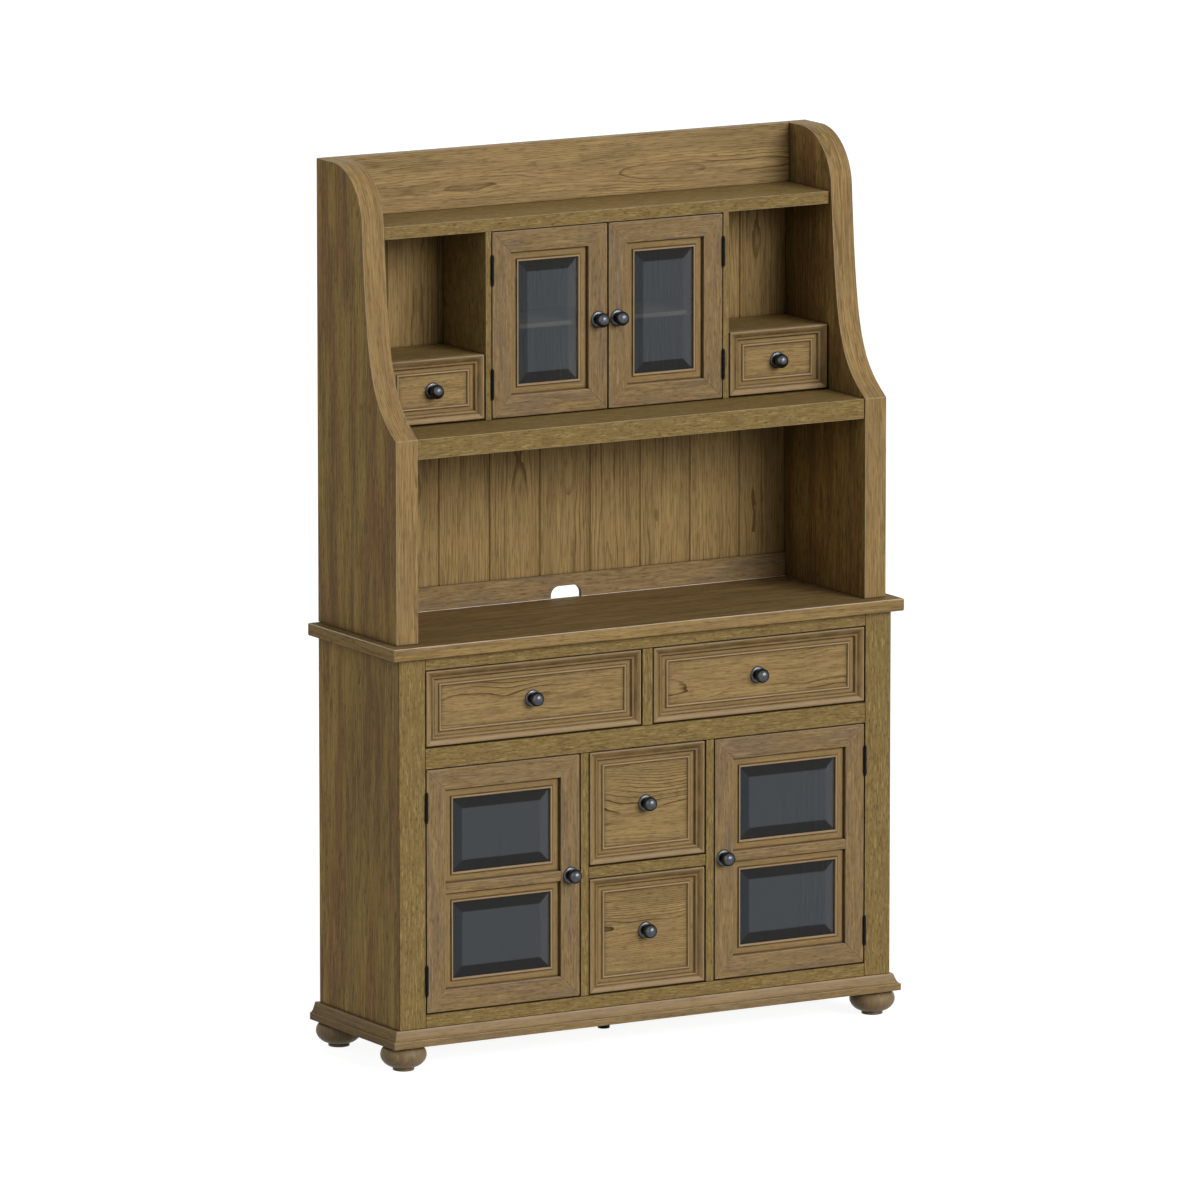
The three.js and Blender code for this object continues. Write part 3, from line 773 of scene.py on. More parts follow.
@dataclass(frozen=True)
class Paper(Finish):
    """Background paper: white to look at, and it still takes a faint shadow."""

    grey: float
    glow: float

    def shader(self, tree: Tree) -> Socket:
        """Lets the paper glow only where it is looked at, so that it lights nothing.

        Args:
            tree: the tree that is drawn into.

        Returns:
            The shader.
        """
        grey = (self.grey, self.grey, self.grey, 1.0)
        paper = add_node(tree, "ShaderNodeBsdfDiffuse", {"Color": grey})
        glow = add_node(tree, "ShaderNodeEmission", {"Color": WHITE, "Strength": self.glow})
        both = add_node(tree, "ShaderNodeAddShader", {0: paper, 1: glow})
        return add_node(tree, "ShaderNodeMixShader", {0: looked_at(tree), 1: paper, 2: both})


# Seamless background paper, matt: an even white under the feet, with no edge or sheen.
FLOOR_PAPER = Paper("floor_paper_white", 0.32, 0.91)


def new_piece(name: str, mesh: bpy.types.Mesh) -> Piece:
    """Puts a mesh at the origin as a new piece, active and selected alone.

    Args:
        name: the new piece's name.
        mesh: its mesh.

    Returns:
        The piece.
    """
    bpy.ops.object.select_all(action="DESELECT")
    piece = bpy.data.objects.new(name, mesh)
    bpy.context.scene.collection.objects.link(piece)
    bpy.context.view_layer.objects.active = piece
    piece.select_set(True)
    return piece


def start_mesh(name: str) -> Piece:
    """Starts an empty piece and opens it for editing.

    Args:
        name: the new piece's name.

    Returns:
        The piece, in edit mode.
    """
    piece = new_piece(name, bpy.data.meshes.new(name))
    bpy.ops.object.mode_set(mode="EDIT")
    return piece


def start_copy(name: str, node: str) -> Piece:
    """Copies a node's mesh, merges its loose triangles and opens the copy for editing.

    Args:
        name: the new piece's name.
        node: the node that is copied.

    Returns:
        The piece, in edit mode.
    """
    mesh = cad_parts[node].data.copy()
    mesh.name = name
    mesh.materials.clear()
    piece = new_piece(name, mesh)
    bpy.ops.mesh.customdata_custom_splitnormals_clear()
    bpy.ops.object.mode_set(mode="EDIT")
    bpy.ops.mesh.select_all(action="SELECT")
    bpy.ops.mesh.remove_doubles(threshold=0.01 * MM)
    bpy.ops.mesh.dissolve_limited(angle_limit=math.radians(0.2))
    return piece


def add_block(low: Vector, high: Vector) -> None:
    """Adds a block between two corners to the open mesh."""
    bpy.ops.mesh.primitive_cube_add(size=1, location=(low + high) / 2, scale=high - low)


def fit_piece(piece: Piece, body: str, nodes: Iterable[str], slot: Slot) -> None:
    """Puts a finished piece on its body, in place of its nodes.

    Args:
        piece: the finished piece, at the origin.
        body: the body that it moves with.
        nodes: the nodes that it stands for.
        slot: not used.
    """
    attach(piece, body)
    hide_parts(*nodes)
    log.info("%s rides on %s", piece.name, body)


def read_all(items: Any, name: str, kind: type, width: int = 1) -> np.ndarray:
    """Reads one value of every item of a mesh.

    Args:
        items: its points, faces or face corners, or an attribute's values.
        name: the value that is read.
        kind: the type of its numbers.
        width: how many numbers it has.

    Returns:
        The values, one row for each item where they have several numbers.
    """
    values = np.zeros(len(items) * width, kind)
    items.foreach_get(name, values)
    return values.reshape(-1, width) if width > 1 else values


def corner_places(data: bpy.types.Mesh) -> np.ndarray:
    """Reads where each face corner of a mesh lies."""
    corners = read_all(data.loops, "vertex_index", np.int32)
    return read_all(data.vertices, "co", np.float32, 3)[corners]


def lay_grain(data: bpy.types.Mesh, grain: np.ndarray) -> None:
    """Stores each face corner's place along, across and through the grain."""
    layer = data.attributes.new("grain", "FLOAT_VECTOR", "CORNER")
    layer.data.foreach_set("vector", grain.astype(np.float32).ravel())


@dataclass
class Board:
    """Where one board's grain starts and how it runs."""

    low: Vector
    high: Vector
    grain: Axis
    finish: int = 0
    bent: bool = False  # its grain follows a curve in y and z

    def axes(self) -> tuple[int, int, int]:
        """Finds the ways along, across and through the board.

        Returns:
            The numbers of the three axes.
        """
        along = self.grain.value
        rest = [a for a in range(3) if a != along]
        size = self.high - self.low
        across, through = sorted(rest, key=lambda a: -size[a])
        return along, across, through


class Joinery:
    """One piece made of boards, each cut, rounded and grained by itself."""

    def __init__(
        self,
        name: str,
        finishes: list[Oak],
        source: str | None = None,
        rubbed: Oak = WORN_OAK,
    ) -> None:
        """Opens the piece for work.

        Args:
            name: the piece's name.
            finishes: its finishes, the first for plain boards.
            source: a node whose shape it starts from.
            rubbed: the finish of its rounded edges, which is number 1 of its materials.
        """
        self.piece = start_copy(name, source) if source else start_mesh(name)
        for finish in (finishes[0], rubbed, *finishes[1:]):
            self.piece.data.materials.append(finish.material())
        self.boards: list[Board] = []
        self.chance = random.Random(name)

    @contextmanager
    def opened(self) -> Iterator[tuple[bmesh.types.BMesh, Any]]:
        """Lends the mesh and the layer that numbers its boards.

        Yields:
            The mesh under work and the layer, in which 0 is no board.
        """
        mesh = bmesh.from_edit_mesh(self.piece.data)
        yield mesh, mesh.faces.layers.int.get("board") or mesh.faces.layers.int.new("board")
        bmesh.update_edit_mesh(self.piece.data)

    def claim(self, board: Board) -> int:
        """Gives every face that belongs to no board yet to a new one.

        Args:
            board: the new board.

        Returns:
            Its number, from 1.
        """
        self.boards.append(board)
        self.reclaim(len(self.boards))
        return len(self.boards)

    def reclaim(self, number: int) -> None:
        """Gives faces that a cut has just made to the board that was cut.

        Args:
            number: that board's number.
        """
        with self.opened() as (mesh, layer):
            for face in mesh.faces:
                face[layer] = face[layer] or number

    def mark_wear_and_painted_light(self, amount: float) -> None:
        """Sets the wear of the selected points, which is partly painted light.

        Args:
            amount: how far they are rubbed, or glazed where it is negative; dark values also
                paint shade.
        """
        with self.opened() as (mesh, _):
            layers = mesh.verts.layers.float
            wear = layers.get("wear") or layers.new("wear")
            for vertex in mesh.verts:
                if vertex.select:
                    vertex[wear] = amount

    def free(self, number: int, test: Test) -> None:
        """Takes faces from a board, ready for another one to claim.

        Args:
            number: the number of the board that they belong to.
            test: says from a face's centre and normal whether it is meant.
        """
        with self.opened() as (mesh, layer):
            for face in mesh.faces:
                if face[layer] == number and test(face.calc_center_median(), face.normal):
                    face[layer] = 0

    def pick(self, number: int, test: Test | None = None) -> None:
        """Selects a board's faces.

        Args:
            number: the board's number.
            test: says from a face's centre and normal whether it is meant.
        """
        bpy.ops.mesh.select_mode(type="FACE")
        bpy.ops.mesh.select_all(action="DESELECT")
        with self.opened() as (mesh, layer):
            for face in mesh.faces:
                if face[layer] == number and (
                    test is None or test(face.calc_center_median(), face.normal)
                ):
                    face.select_set(True)

    def board(self, low: Point, high: Point, grain: Axis, edge: float = 0.8) -> int:
        """Adds a plain board.

        Args:
            low: its lowest corner in millimetres.
            high: its highest corner.
            grain: the way that its grain runs.
            edge: how much its edges are rounded, or 0.

        Returns:
            The board's number.
        """
        start, end = spot(*low), spot(*high)
        add_block(start, end)
        number = self.claim(Board(start, end, grain))
        if edge:
            self.soften(number, edge)
        return number

    def score(self, number: int, point: Point, way: Point) -> None:
        """Splits a board's faces along a plane, without a gap.

        Args:
            number: the board's number.
            point: a point of the plane in millimetres.
            way: the direction that the plane faces.
        """
        self.pick(number)
        bpy.ops.mesh.bisect(plane_co=spot(*point), plane_no=way)

    def cut(self, number: int, point: Point, away: Point) -> None:
        """Saws a board along a plane and caps it.

        Args:
            number: the board's number.
            point: a point of the plane in millimetres.
            away: the direction of the part that falls off.
        """
        self.pick(number)
        bpy.ops.mesh.bisect(
            plane_co=spot(*point), plane_no=away, use_fill=True, clear_outer=True
        )
        self.reclaim(number)

    def soften(self, number: int, width: float, segments: int = 2) -> None:
        """Rounds a board's outer edges, which gives them the rubbed finish.

        Args:
            number: the board's number.
            width: the width of the rounding in millimetres.
            segments: how many facets it has.
        """
        bpy.ops.mesh.select_mode(type="EDGE")
        bpy.ops.mesh.select_all(action="DESELECT")
        with self.opened() as (mesh, layer):
            for edge in mesh.edges:
                if len(edge.link_faces) == 2 and edge.link_faces[0][layer] == number:
                    edge.select_set(edge.calc_face_angle_signed(0.0) > CORNER_ABOVE)
        bpy.ops.mesh.bevel(
            offset=width * MM, segments=segments, profile=0.5, clamp_overlap=True, material=1
        )
        self.reclaim(number)

    def mitred(
        self, edges: Span, heights: Span, depth: Span, width: float, edge: float
    ) -> None:
        """Adds four boards mitred into a frame.

        Args:
            edges: the frame's left and right edges.
            heights: its bottom and top.
            depth: its front and back.
            width: the boards' width.
            edge: how much their edges are rounded.
        """
        (x0, x1), (z0, z1), (y0, y1) = edges, heights, depth
        sides = (
            ((x0, x0 + width), (z0, z1), Axis.Z, ((x0, z0, 1, -1), (x0, z1, 1, 1))),
            ((x1 - width, x1), (z0, z1), Axis.Z, ((x1, z0, -1, -1), (x1, z1, -1, 1))),
            ((x0, x1), (z0, z0 + width), Axis.X, ((x0, z0, -1, 1), (x1, z0, 1, 1))),
            ((x0, x1), (z1 - width, z1), Axis.X, ((x0, z1, -1, -1), (x1, z1, 1, -1))),
        )
        for (left, right), (bottom, top), grain, mitres in sides:
            number = self.board((left, y0, bottom), (right, y1, top), grain, edge=0)
            for x, z, way_x, way_z in mitres:
                self.cut(number, (x, y0, z), (way_x, 0, way_z))
            self.soften(number, edge)

    def done(self, body: str, nodes: Iterable[str], slot: Slot = Slot.OAK) -> None:
        """Closes the work: grains each board, gives out the finishes and fits the piece.

        Args:
            body: the body that the piece moves with.
            nodes: the nodes that it stands for.
            slot: the slot named for the piece, handed on to fit_piece.
        """
        bpy.ops.object.mode_set(mode="OBJECT")
        data = self.piece.data
        numbers = read_all(data.attributes["board"].data, "value", np.int32)
        slots = read_all(data.polygons, "material_index", np.int32)
        totals = read_all(data.polygons, "loop_total", np.int32)
        places = corner_places(data)
        owners = np.repeat(numbers, totals)
        grain = np.zeros_like(places)
        for number, board in enumerate(self.boards, 1):
            middle = (board.low + board.high) / 2
            mine = owners == number
            start = (
                self.chance.uniform(-TRUNK_ALONG, TRUNK_ALONG),
                self.chance.uniform(-TRUNK_ACROSS, TRUNK_ACROSS),
                self.chance.uniform(*FROM_PITH),
            )
            for axis, (way, shift) in enumerate(zip(board.axes(), start, strict=True)):
                grain[mine, axis] = places[mine, way] - middle[way] + shift
            if board.bent:
                grain[mine, 0] += places[mine, 1]
                grain[mine, 1] = places[mine, 0] - middle[0] + start[1]
                grain[mine, 2] = start[2]
            own = numbers == number
            slots[own & (slots != 1)] = board.finish and board.finish + 1
        data.polygons.foreach_set("material_index", slots)
        lay_grain(data, grain)
        data.attributes.remove(data.attributes["board"])
        if "wear" in data.attributes:
            self._spread_wear_and_painted_light(totals)
        # Each flat face is kept flat between its rounded edges.
        bpy.ops.object.shade_smooth_by_angle(angle=SMOOTH_BELOW)
        modifier = self.piece.modifiers.new("even", "WEIGHTED_NORMAL")
        modifier.keep_sharp = True
        bpy.ops.object.modifier_apply(modifier=modifier.name)
        fit_piece(self.piece, body, nodes, slot)

    def _spread_wear_and_painted_light(self, totals: np.ndarray) -> None:
        """Paints light into a moulding's wear: lighter where it leans up or right, toward the
        light, and darker with the glaze where it leans away, as painted shade.

        Args:
            totals: how many corners each face has.
        """
        data = self.piece.data
        points = read_all(data.attributes["wear"].data, "value", np.float32)
        data.attributes.remove(data.attributes["wear"])
        normals = read_all(data.polygons, "normal", np.float32, 3)
        corners = read_all(data.loops, "vertex_index", np.int32)
        # Painted highlight and shade, from how far each face leans toward the light.
        painted_light_lean = np.clip(normals[:, 2], *PAINTED_LIGHT_UP)
        painted_light_lean += PAINTED_LIGHT_RIGHT_SHARE * np.clip(normals[:, 0], *PAINTED_LIGHT_RIGHT)
        painted_light_lean *= PAINTED_LIGHT_SHARE
        worn_and_painted_light = points[corners] + np.repeat(painted_light_lean, totals)
        layer = data.attributes.new("wear", "FLOAT", "CORNER")
        layer.data.foreach_set("value", np.clip(worn_and_painted_light, -1.0, 1.0).astype(np.float32))


@dataclass
class Counter:
    """The slab that the hutch stands on."""

    edge: float = 3.4
    rubbed: Span = (0.5, 0.9)  # how far up the facet leans that hands have rubbed and that is painted as a highlight

    def build(self) -> None:
        """Builds the slab, with its edge rounded over."""
        work = Joinery(
            "counter_slab", [COUNTER_OAK, COUNTER_TOP_OAK], rubbed=COUNTER_RUBBED_HIGHLIGHT_OAK
        )
        low, high = span_of("counter_top")
        number = work.board(low, high, Axis.X, edge=0)
        work.soften(number, self.edge, 3)
        # Only the facets that lean up keep the nearly white finish: a painted highlight along the
        # rubbed edge.
        with work.opened() as (mesh, _):
            for face in mesh.faces:
                if not self.rubbed[0] < face.normal.z < self.rubbed[1]:
                    face.material_index = 0
        whole = work.boards[0]
        # The top has its own finish, and the grain of both ends runs from front to back.
        work.free(number, lambda centre, normal: normal.z > 0.99)
        work.claim(Board(whole.low, whole.high, Axis.X, 1))
        work.free(number, lambda centre, normal: abs(normal.x) > 0.5)
        work.claim(Board(whole.low, whole.high, Axis.Y))
        work.done("cabinet", ["counter_top"])


@dataclass
class BaseCabinet:
    """The case below the counter: ends, back, face frame and what carries the drawers."""

    half: float = 612.55
    inner: float = 547.9
    depth: Span = (0.0, 19.85)
    top: Span = (869.1, 897.35)
    middle: Span = (654.9, 700.7)
    bottom: Span = (92.15, 121.3)
    mullion_half: float = 13.0
    bay: Span = (146.0, 166.4)
    centre_rail: Span = (378.1, 403.9)
    case_half: float = 594.5
    case_depth: Span = (20.2, 348.8)
    deck: Span = (684.7, 700.7)
    partition: Span = (147.2, 165.2)
    partition_rise: Span = (92.2, 684.5)
    runner: Span = (129.2, 147.1)
    runner_tops: Span = (403.9, 121.3)
    runner_thickness: float = 16.0

    def build(self) -> None:
        """Builds every board of the case."""
        for name, node, finish, slot in (
            ("base_end_panel_left", "base_side_left", SIDE_OAK, Slot.OAK),
            ("base_end_panel_right", "base_side_right", SIDE_OAK, Slot.OAK),
            ("base_back_board", "base_back_panel", INNER_OAK, Slot.INNER),
        ):
            work = Joinery(name, [finish])
            work.board(*span_of(node), Axis.Z)
            work.done("cabinet", [node], slot)
        self._face_frame()
        self._case()

    def _face_frame(self) -> None:
        """Joins the stiles and rails round the six openings."""
        work = Joinery("face_frame_boards", [FACE_OAK, SIDE_OAK], rubbed=JOINT_OAK)
        (y0, y1), inner, half = self.depth, self.inner, self.mullion_half
        for x0, x1 in ((-self.half, -inner), (inner, self.half)):
            work.board((x0, y0, self.bottom[0]), (x1, y1, self.top[1]), Axis.Z)
        for z0, z1 in (self.top, self.middle, self.bottom):
            work.board((-inner, y0, z0), (inner, y1, z1), Axis.X)
        work.board((-half, y0, self.middle[1]), (half, y1, self.top[0]), Axis.Z)
        near, far = self.bay
        for x0, x1 in ((-far, -near), (near, far)):
            work.board((x0, y0, self.bottom[1]), (x1, y1, self.middle[0]), Axis.Z)
        z0, z1 = self.centre_rail
        work.board((-near, y0, z0), (near, y1, z1), Axis.X)
        # The outer faces of the two stiles are stained like the end panels behind them.
        outside = (self.half - 0.01) * MM
        for number in (1, 2):
            stile = work.boards[number - 1]
            work.free(number, lambda centre, normal: abs(centre.x) > outside)
            work.claim(Board(stile.low, stile.high, Axis.Z, 1))
        work.done("cabinet", ["base_face_frame"])

    def _case(self) -> None:
        """Puts in the deck under the top drawers, the partitions and the runners."""
        work = Joinery("drawer_case_boards", [INNER_OAK])
        (front, back), half = self.case_depth, self.case_half
        work.board((-half, front, self.deck[0]), (half, back, self.deck[1]), Axis.X)
        z0, z1 = self.partition_rise
        for side in (-1, 1):
            ends = sorted(side * x for x in self.partition)
            work.board((ends[0], front, z0), (ends[1], back, z1), Axis.Z)
            ends = sorted(side * x for x in self.runner)
            for top in self.runner_tops:
                low = top - self.runner_thickness
                work.board((ends[0], front, low), (ends[1], back, top), Axis.Y)
        work.done("cabinet", ["drawer_case"], Slot.INNER)


@dataclass
class Plinth:
    """The moulded slab under the case, a square band with a hollow above it."""

    half: float = 633.3
    front: float = -14.5
    back: float = 362.3
    bottom: float = 54.65
    band: float = 68.9
    # Each step: how far it is set back, its height, and its wear, which in the hollow is partly
    # painted shade.
    hollow: tuple[tuple[float, float, float], ...] = (
        (0.35, 69.5, 0.4),
        (1.1, 69.9, 0.3),
        (2.0, 70.2, -1.0),
        (3.2, 70.7, -1.0),
        (5.1, 72.6, -0.7),
        (7.0, 75.6, -0.5),
        (8.6, 79.2, -0.4),
        (10.0, 83.2, -0.4),
        (11.2, 87.2, -0.3),
        (12.2, 89.9, 0.2),
        (12.9, 91.0, 0.2),
        (13.9, 91.7, -0.6),
        (14.6, 91.85, -1.0),
    )
    end_width: float = 15.0

    def build(self) -> None:
        """Draws the hollow up from the band, narrower at each step."""
        work = Joinery("plinth_moulding", [MOULDING_OAK])
        low, high = (-self.half, self.front, self.bottom), (self.half, self.back, self.band)
        number = work.board(low, high, Axis.X, edge=0)
        work.pick(number, lambda centre, normal: normal.z > FACING)
        reach, level, deep = 0.0, self.band, self.back - self.front
        for next_reach, next_level, wear in self.hollow:
            scale_x = (self.half - next_reach) / (self.half - reach)
            scale_y = (deep - next_reach) / (deep - reach)
            bpy.ops.mesh.extrude_region_move(
                TRANSFORM_OT_translate={"value": (0, 0, (next_level - level) * MM)}
            )
            bpy.ops.transform.resize(
                value=(scale_x, scale_y, 1), center_override=spot(0, self.back, next_level)
            )
            work.mark_wear_and_painted_light(wear)
            reach, level = next_reach, next_level
        work.reclaim(number)
        # The grain of the two ends runs from front to back.
        for side in (-1, 1):
            work.free(number, lambda centre, normal, side=side: side * normal.x > 0.2)
            left, right = sorted((side * (self.half - self.end_width), side * self.half))
            start, end = spot(left, self.front, self.bottom), spot(right, self.back, level)
            work.claim(Board(start, end, Axis.Y))
        work.done("cabinet", ["base_moulding"])


@dataclass
class Turning:
    """A shape turned on a lathe, drawn ring by ring out of one circle."""

    name: str
    rings: tuple[Span, ...]  # radius and place along the axis, in mm
    sides: int = 48

    def turn(self, centre: Point, upright: bool) -> Piece:
        """Turns the shape.

        Args:
            centre: where its axis starts, in millimetres.
            upright: whether the axis points up; if not, it points to the front.

        Returns:
            The shape, in object mode and closed.
        """
        piece = start_mesh(self.name)
        way = Vector((0, 0, 1)) if upright else Vector((0, -1, 0))
        radius, place = self.rings[0]
        bpy.ops.mesh.primitive_circle_add(
            vertices=self.sides,
            radius=radius * MM,
            fill_type="NGON",
            location=spot(*centre) + way * place * MM,
            rotation=(0, 0, 0) if upright else (math.pi / 2, 0, 0),
        )
        for next_radius, next_place in self.rings[1:]:
            bpy.ops.mesh.extrude_region_move(
                TRANSFORM_OT_translate={"value": way * (next_place - place) * MM}
            )
            scale = next_radius / radius
            bpy.ops.transform.resize(
                value=(scale, scale if upright else 1, 1 if upright else scale),
                center_override=spot(*centre) + way * next_place * MM,
            )
            radius, place = next_radius, next_place
        bpy.ops.mesh.select_all(action="SELECT")
        bpy.ops.mesh.normals_make_consistent(inside=False)
        bpy.ops.object.mode_set(mode="OBJECT")
        return piece


def stand_at(first: Piece, places: dict[str, Point]) -> Iterator[Piece]:
    """Copies a piece, each copy with its own mesh, to every place but its own.

    Args:
        first: the piece that stands at the first place.
        places: each piece's name and place in millimetres.

    Yields:
        Each piece in turn, at the origin with its place in its mesh.
    """
    start = places[first.name]
    for name, place in places.items():
        piece = first
        if name != first.name:
            piece = bpy.data.objects.new(name, first.data.copy())
            bpy.context.scene.collection.objects.link(piece)
            shift = Vector([a - b for a, b in zip(place, start, strict=True)])
            for vertex in piece.data.vertices:
                vertex.co += shift * MM
        yield piece


@dataclass
class Feet:
    """Four bun feet and the short support under the middle."""

    across: float = 586.7
    front: float = 30.5
    back: float = 317.3
    shape: tuple[Span, ...] = (
        (21.6, 0.0),
        (22.9, 0.5),
        (23.3, 1.6),
        (23.2, 5.4),
        (22.4, 6.3),
        (23.6, 7.2),
        (28.2, 8.4),
        (33.8, 10.8),
        (38.8, 14.0),
        (42.9, 17.9),
        (46.3, 22.2),
        (48.7, 27.0),
        (49.8, 31.6),
        (49.9, 36.2),
        (49.0, 41.0),
        (47.2, 45.2),
        (44.6, 48.8),
        (41.6, 51.2),
        (39.0, 52.4),
        (38.6, 53.2),
        (41.0, 53.7),
        (41.0, 54.35),
    )
    smooth_below: float = 50.0  # degrees
    from_pith: float = 0.06  # metres
    support: tuple[Span, ...] = ((12.6, 0.5), (13.4, 1.2), (13.4, 9.0), (8.0, 10.5), (8.0, 54.6))
    support_back: float = 189.0

    def build(self) -> None:
        """Turns one foot, copies it to the four corners and turns the support."""
        places = {
            f"foot_turned_{row}_{hand}": (x, y, 0)
            for row, y in (("front", self.front), ("back", self.back))
            for hand, x in (("left", -self.across), ("right", self.across))
        }
        name, place = next(iter(places.items()))
        first = Turning(name, self.shape, 64).turn(place, True)
        bpy.ops.object.shade_smooth_by_angle(angle=math.radians(self.smooth_below))
        for foot in list(stand_at(first, places)):
            corner = foot.name.removeprefix("foot_turned_")
            foot.data.materials.append(FOOT_OAK.material())
            self._lay_grain(foot.data, random.Random(corner))
            fit_piece(foot, "cabinet", [f"foot_{corner}"], Slot.OAK)
        turning = Turning("middle_support", self.support, 32)
        support = turning.turn((0, self.support_back, 0), True)
        bpy.ops.object.shade_smooth_by_angle(angle=SMOOTH_BELOW)
        support.data.materials.append(SUPPORT_PLASTIC.material())
        fit_piece(support, "cabinet", ["base_moulding"], Slot.HINGE)

    def _lay_grain(self, data: bpy.types.Mesh, chance: random.Random) -> None:
        """Lays upright grain through a foot.

        Args:
            data: the foot's mesh.
            chance: where the block that it was turned from lay in the trunk.
        """
        grain = corner_places(data)[:, [2, 0, 1]]
        grain = grain - grain.mean(0)
        along = chance.uniform(-TRUNK_ALONG, TRUNK_ALONG)
        across = chance.uniform(-TRUNK_ACROSS, TRUNK_ACROSS)
        grain += np.array([along, across, self.from_pith])
        lay_grain(data, grain)


@dataclass
class Hutch:
    """Sides, back, shelves, dividers and decks above the counter."""

    groove_pitch: float = 125.7
    planks: int = 9
    beadboard_front: float = 356.9
    rail_top: float = 978.4
    rail_foot: float = 1.5
    side_edge: float = 1.6

    def build(self) -> None:
        """Builds every fixed board of the hutch."""
        for hand in ("left", "right"):
            node = f"hutch_side_{hand}"
            work = Joinery(f"hutch_end_{hand}", [SIDE_OAK, LIPPING_OAK], node)
            low, high = (spot(*corner) for corner in span_of(node))
            number = work.claim(Board(low, high, Axis.Z))
            work.soften(number, self.side_edge)
            # The lipping is whatever looks to the front or up.
            work.free(number, lambda centre, normal: normal.y < -0.1 or normal.z > 0.2)
            work.claim(Board(low, high, Axis.Z, 1, bent=True))
            work.done("cabinet", [node])
        self._back()
        plain = {
            "hutch_lower_shelf": (FACE_OAK, Axis.X, 1.2),
            "hutch_top_shelf": (FACE_OAK, Axis.X, 1.0),
            "hutch_top_backboard": (BACKBOARD_OAK, Axis.X, 0.8),
            "hutch_divider_left": (FACE_OAK, Axis.Z, 0.6),
            "hutch_divider_right": (FACE_OAK, Axis.Z, 0.6),
            "cabinet_shelf": (SHELF_PAINTED_LIGHT_OAK, Axis.X, 0.6),
            "hutch_deck_left": (FACE_OAK, Axis.X, 0.6),
            "hutch_deck_right": (FACE_OAK, Axis.X, 0.6),
        }
        for node, (finish, grain, edge) in plain.items():
            work = Joinery(f"{node}_board", [finish])
            work.board(*span_of(node), grain, edge=edge)
            work.done("cabinet", [node])

    def _back(self) -> None:
        """Saws the back into planks and the rail along the counter."""
        node = "hutch_back_panel"
        work = Joinery(
            "beadboard_planks", [BEADBOARD_OAK, DOOR_OAK], node, COUNTER_RUBBED_HIGHLIGHT_OAK
        )
        low, high = span_of(node)
        number = work.claim(Board(spot(*low), spot(*high), Axis.Z))
        half = self.planks // 2
        seams = [(k + 0.5) * self.groove_pitch for k in range(-half - 1, half + 1)]
        seams = [seam for seam in seams if low[0] < seam < high[0]]
        split, foot = self.beadboard_front - 0.02, low[2] + self.rail_foot
        for seam in seams:
            work.score(number, (seam, 0, 0), (1, 0, 0))
        work.score(number, (0, split, 0), (0, 1, 0))
        work.score(number, (0, 0, foot), (0, 0, 1))
        work.reclaim(number)
        corner = spot(0, split, foot)
        # Dusting has rubbed the foot of the rail pale; it takes the counter edge's nearly white
        # finish, which is partly a painted highlight.
        work.pick(
            number,
            lambda centre, normal: normal.y < -FACING
            and centre.y < corner.y
            and centre.z < corner.z,
        )
        work.piece.active_material_index = 1
        bpy.ops.object.material_slot_assign()
        edges = [low[0], *seams, high[0]]
        for left, right in zip(edges[:-1], edges[1:], strict=True):
            start = spot(left, self.beadboard_front, low[2])
            end = spot(right, high[1], high[2])
            work.free(
                number,
                lambda centre, normal, start=start, end=end: (
                    start.x < centre.x < end.x and centre.y > corner.y
                ),
            )
            work.claim(Board(start, end, Axis.Z))
        rail_end = spot(high[0], self.beadboard_front, self.rail_top)
        work.boards[0] = Board(spot(*low), rail_end, Axis.X, 1)
        work.done("cabinet", [node])


@dataclass(frozen=True)
class Step:
    """One step of a moulding: how far in it reaches and how deep it lies, from the edge."""

    reach: float
    depth: float
    wear: float = 0.0  # 1 where hands have rubbed the glaze off, -1 where it stayed thick; the dark values in the grooves are also painted shade


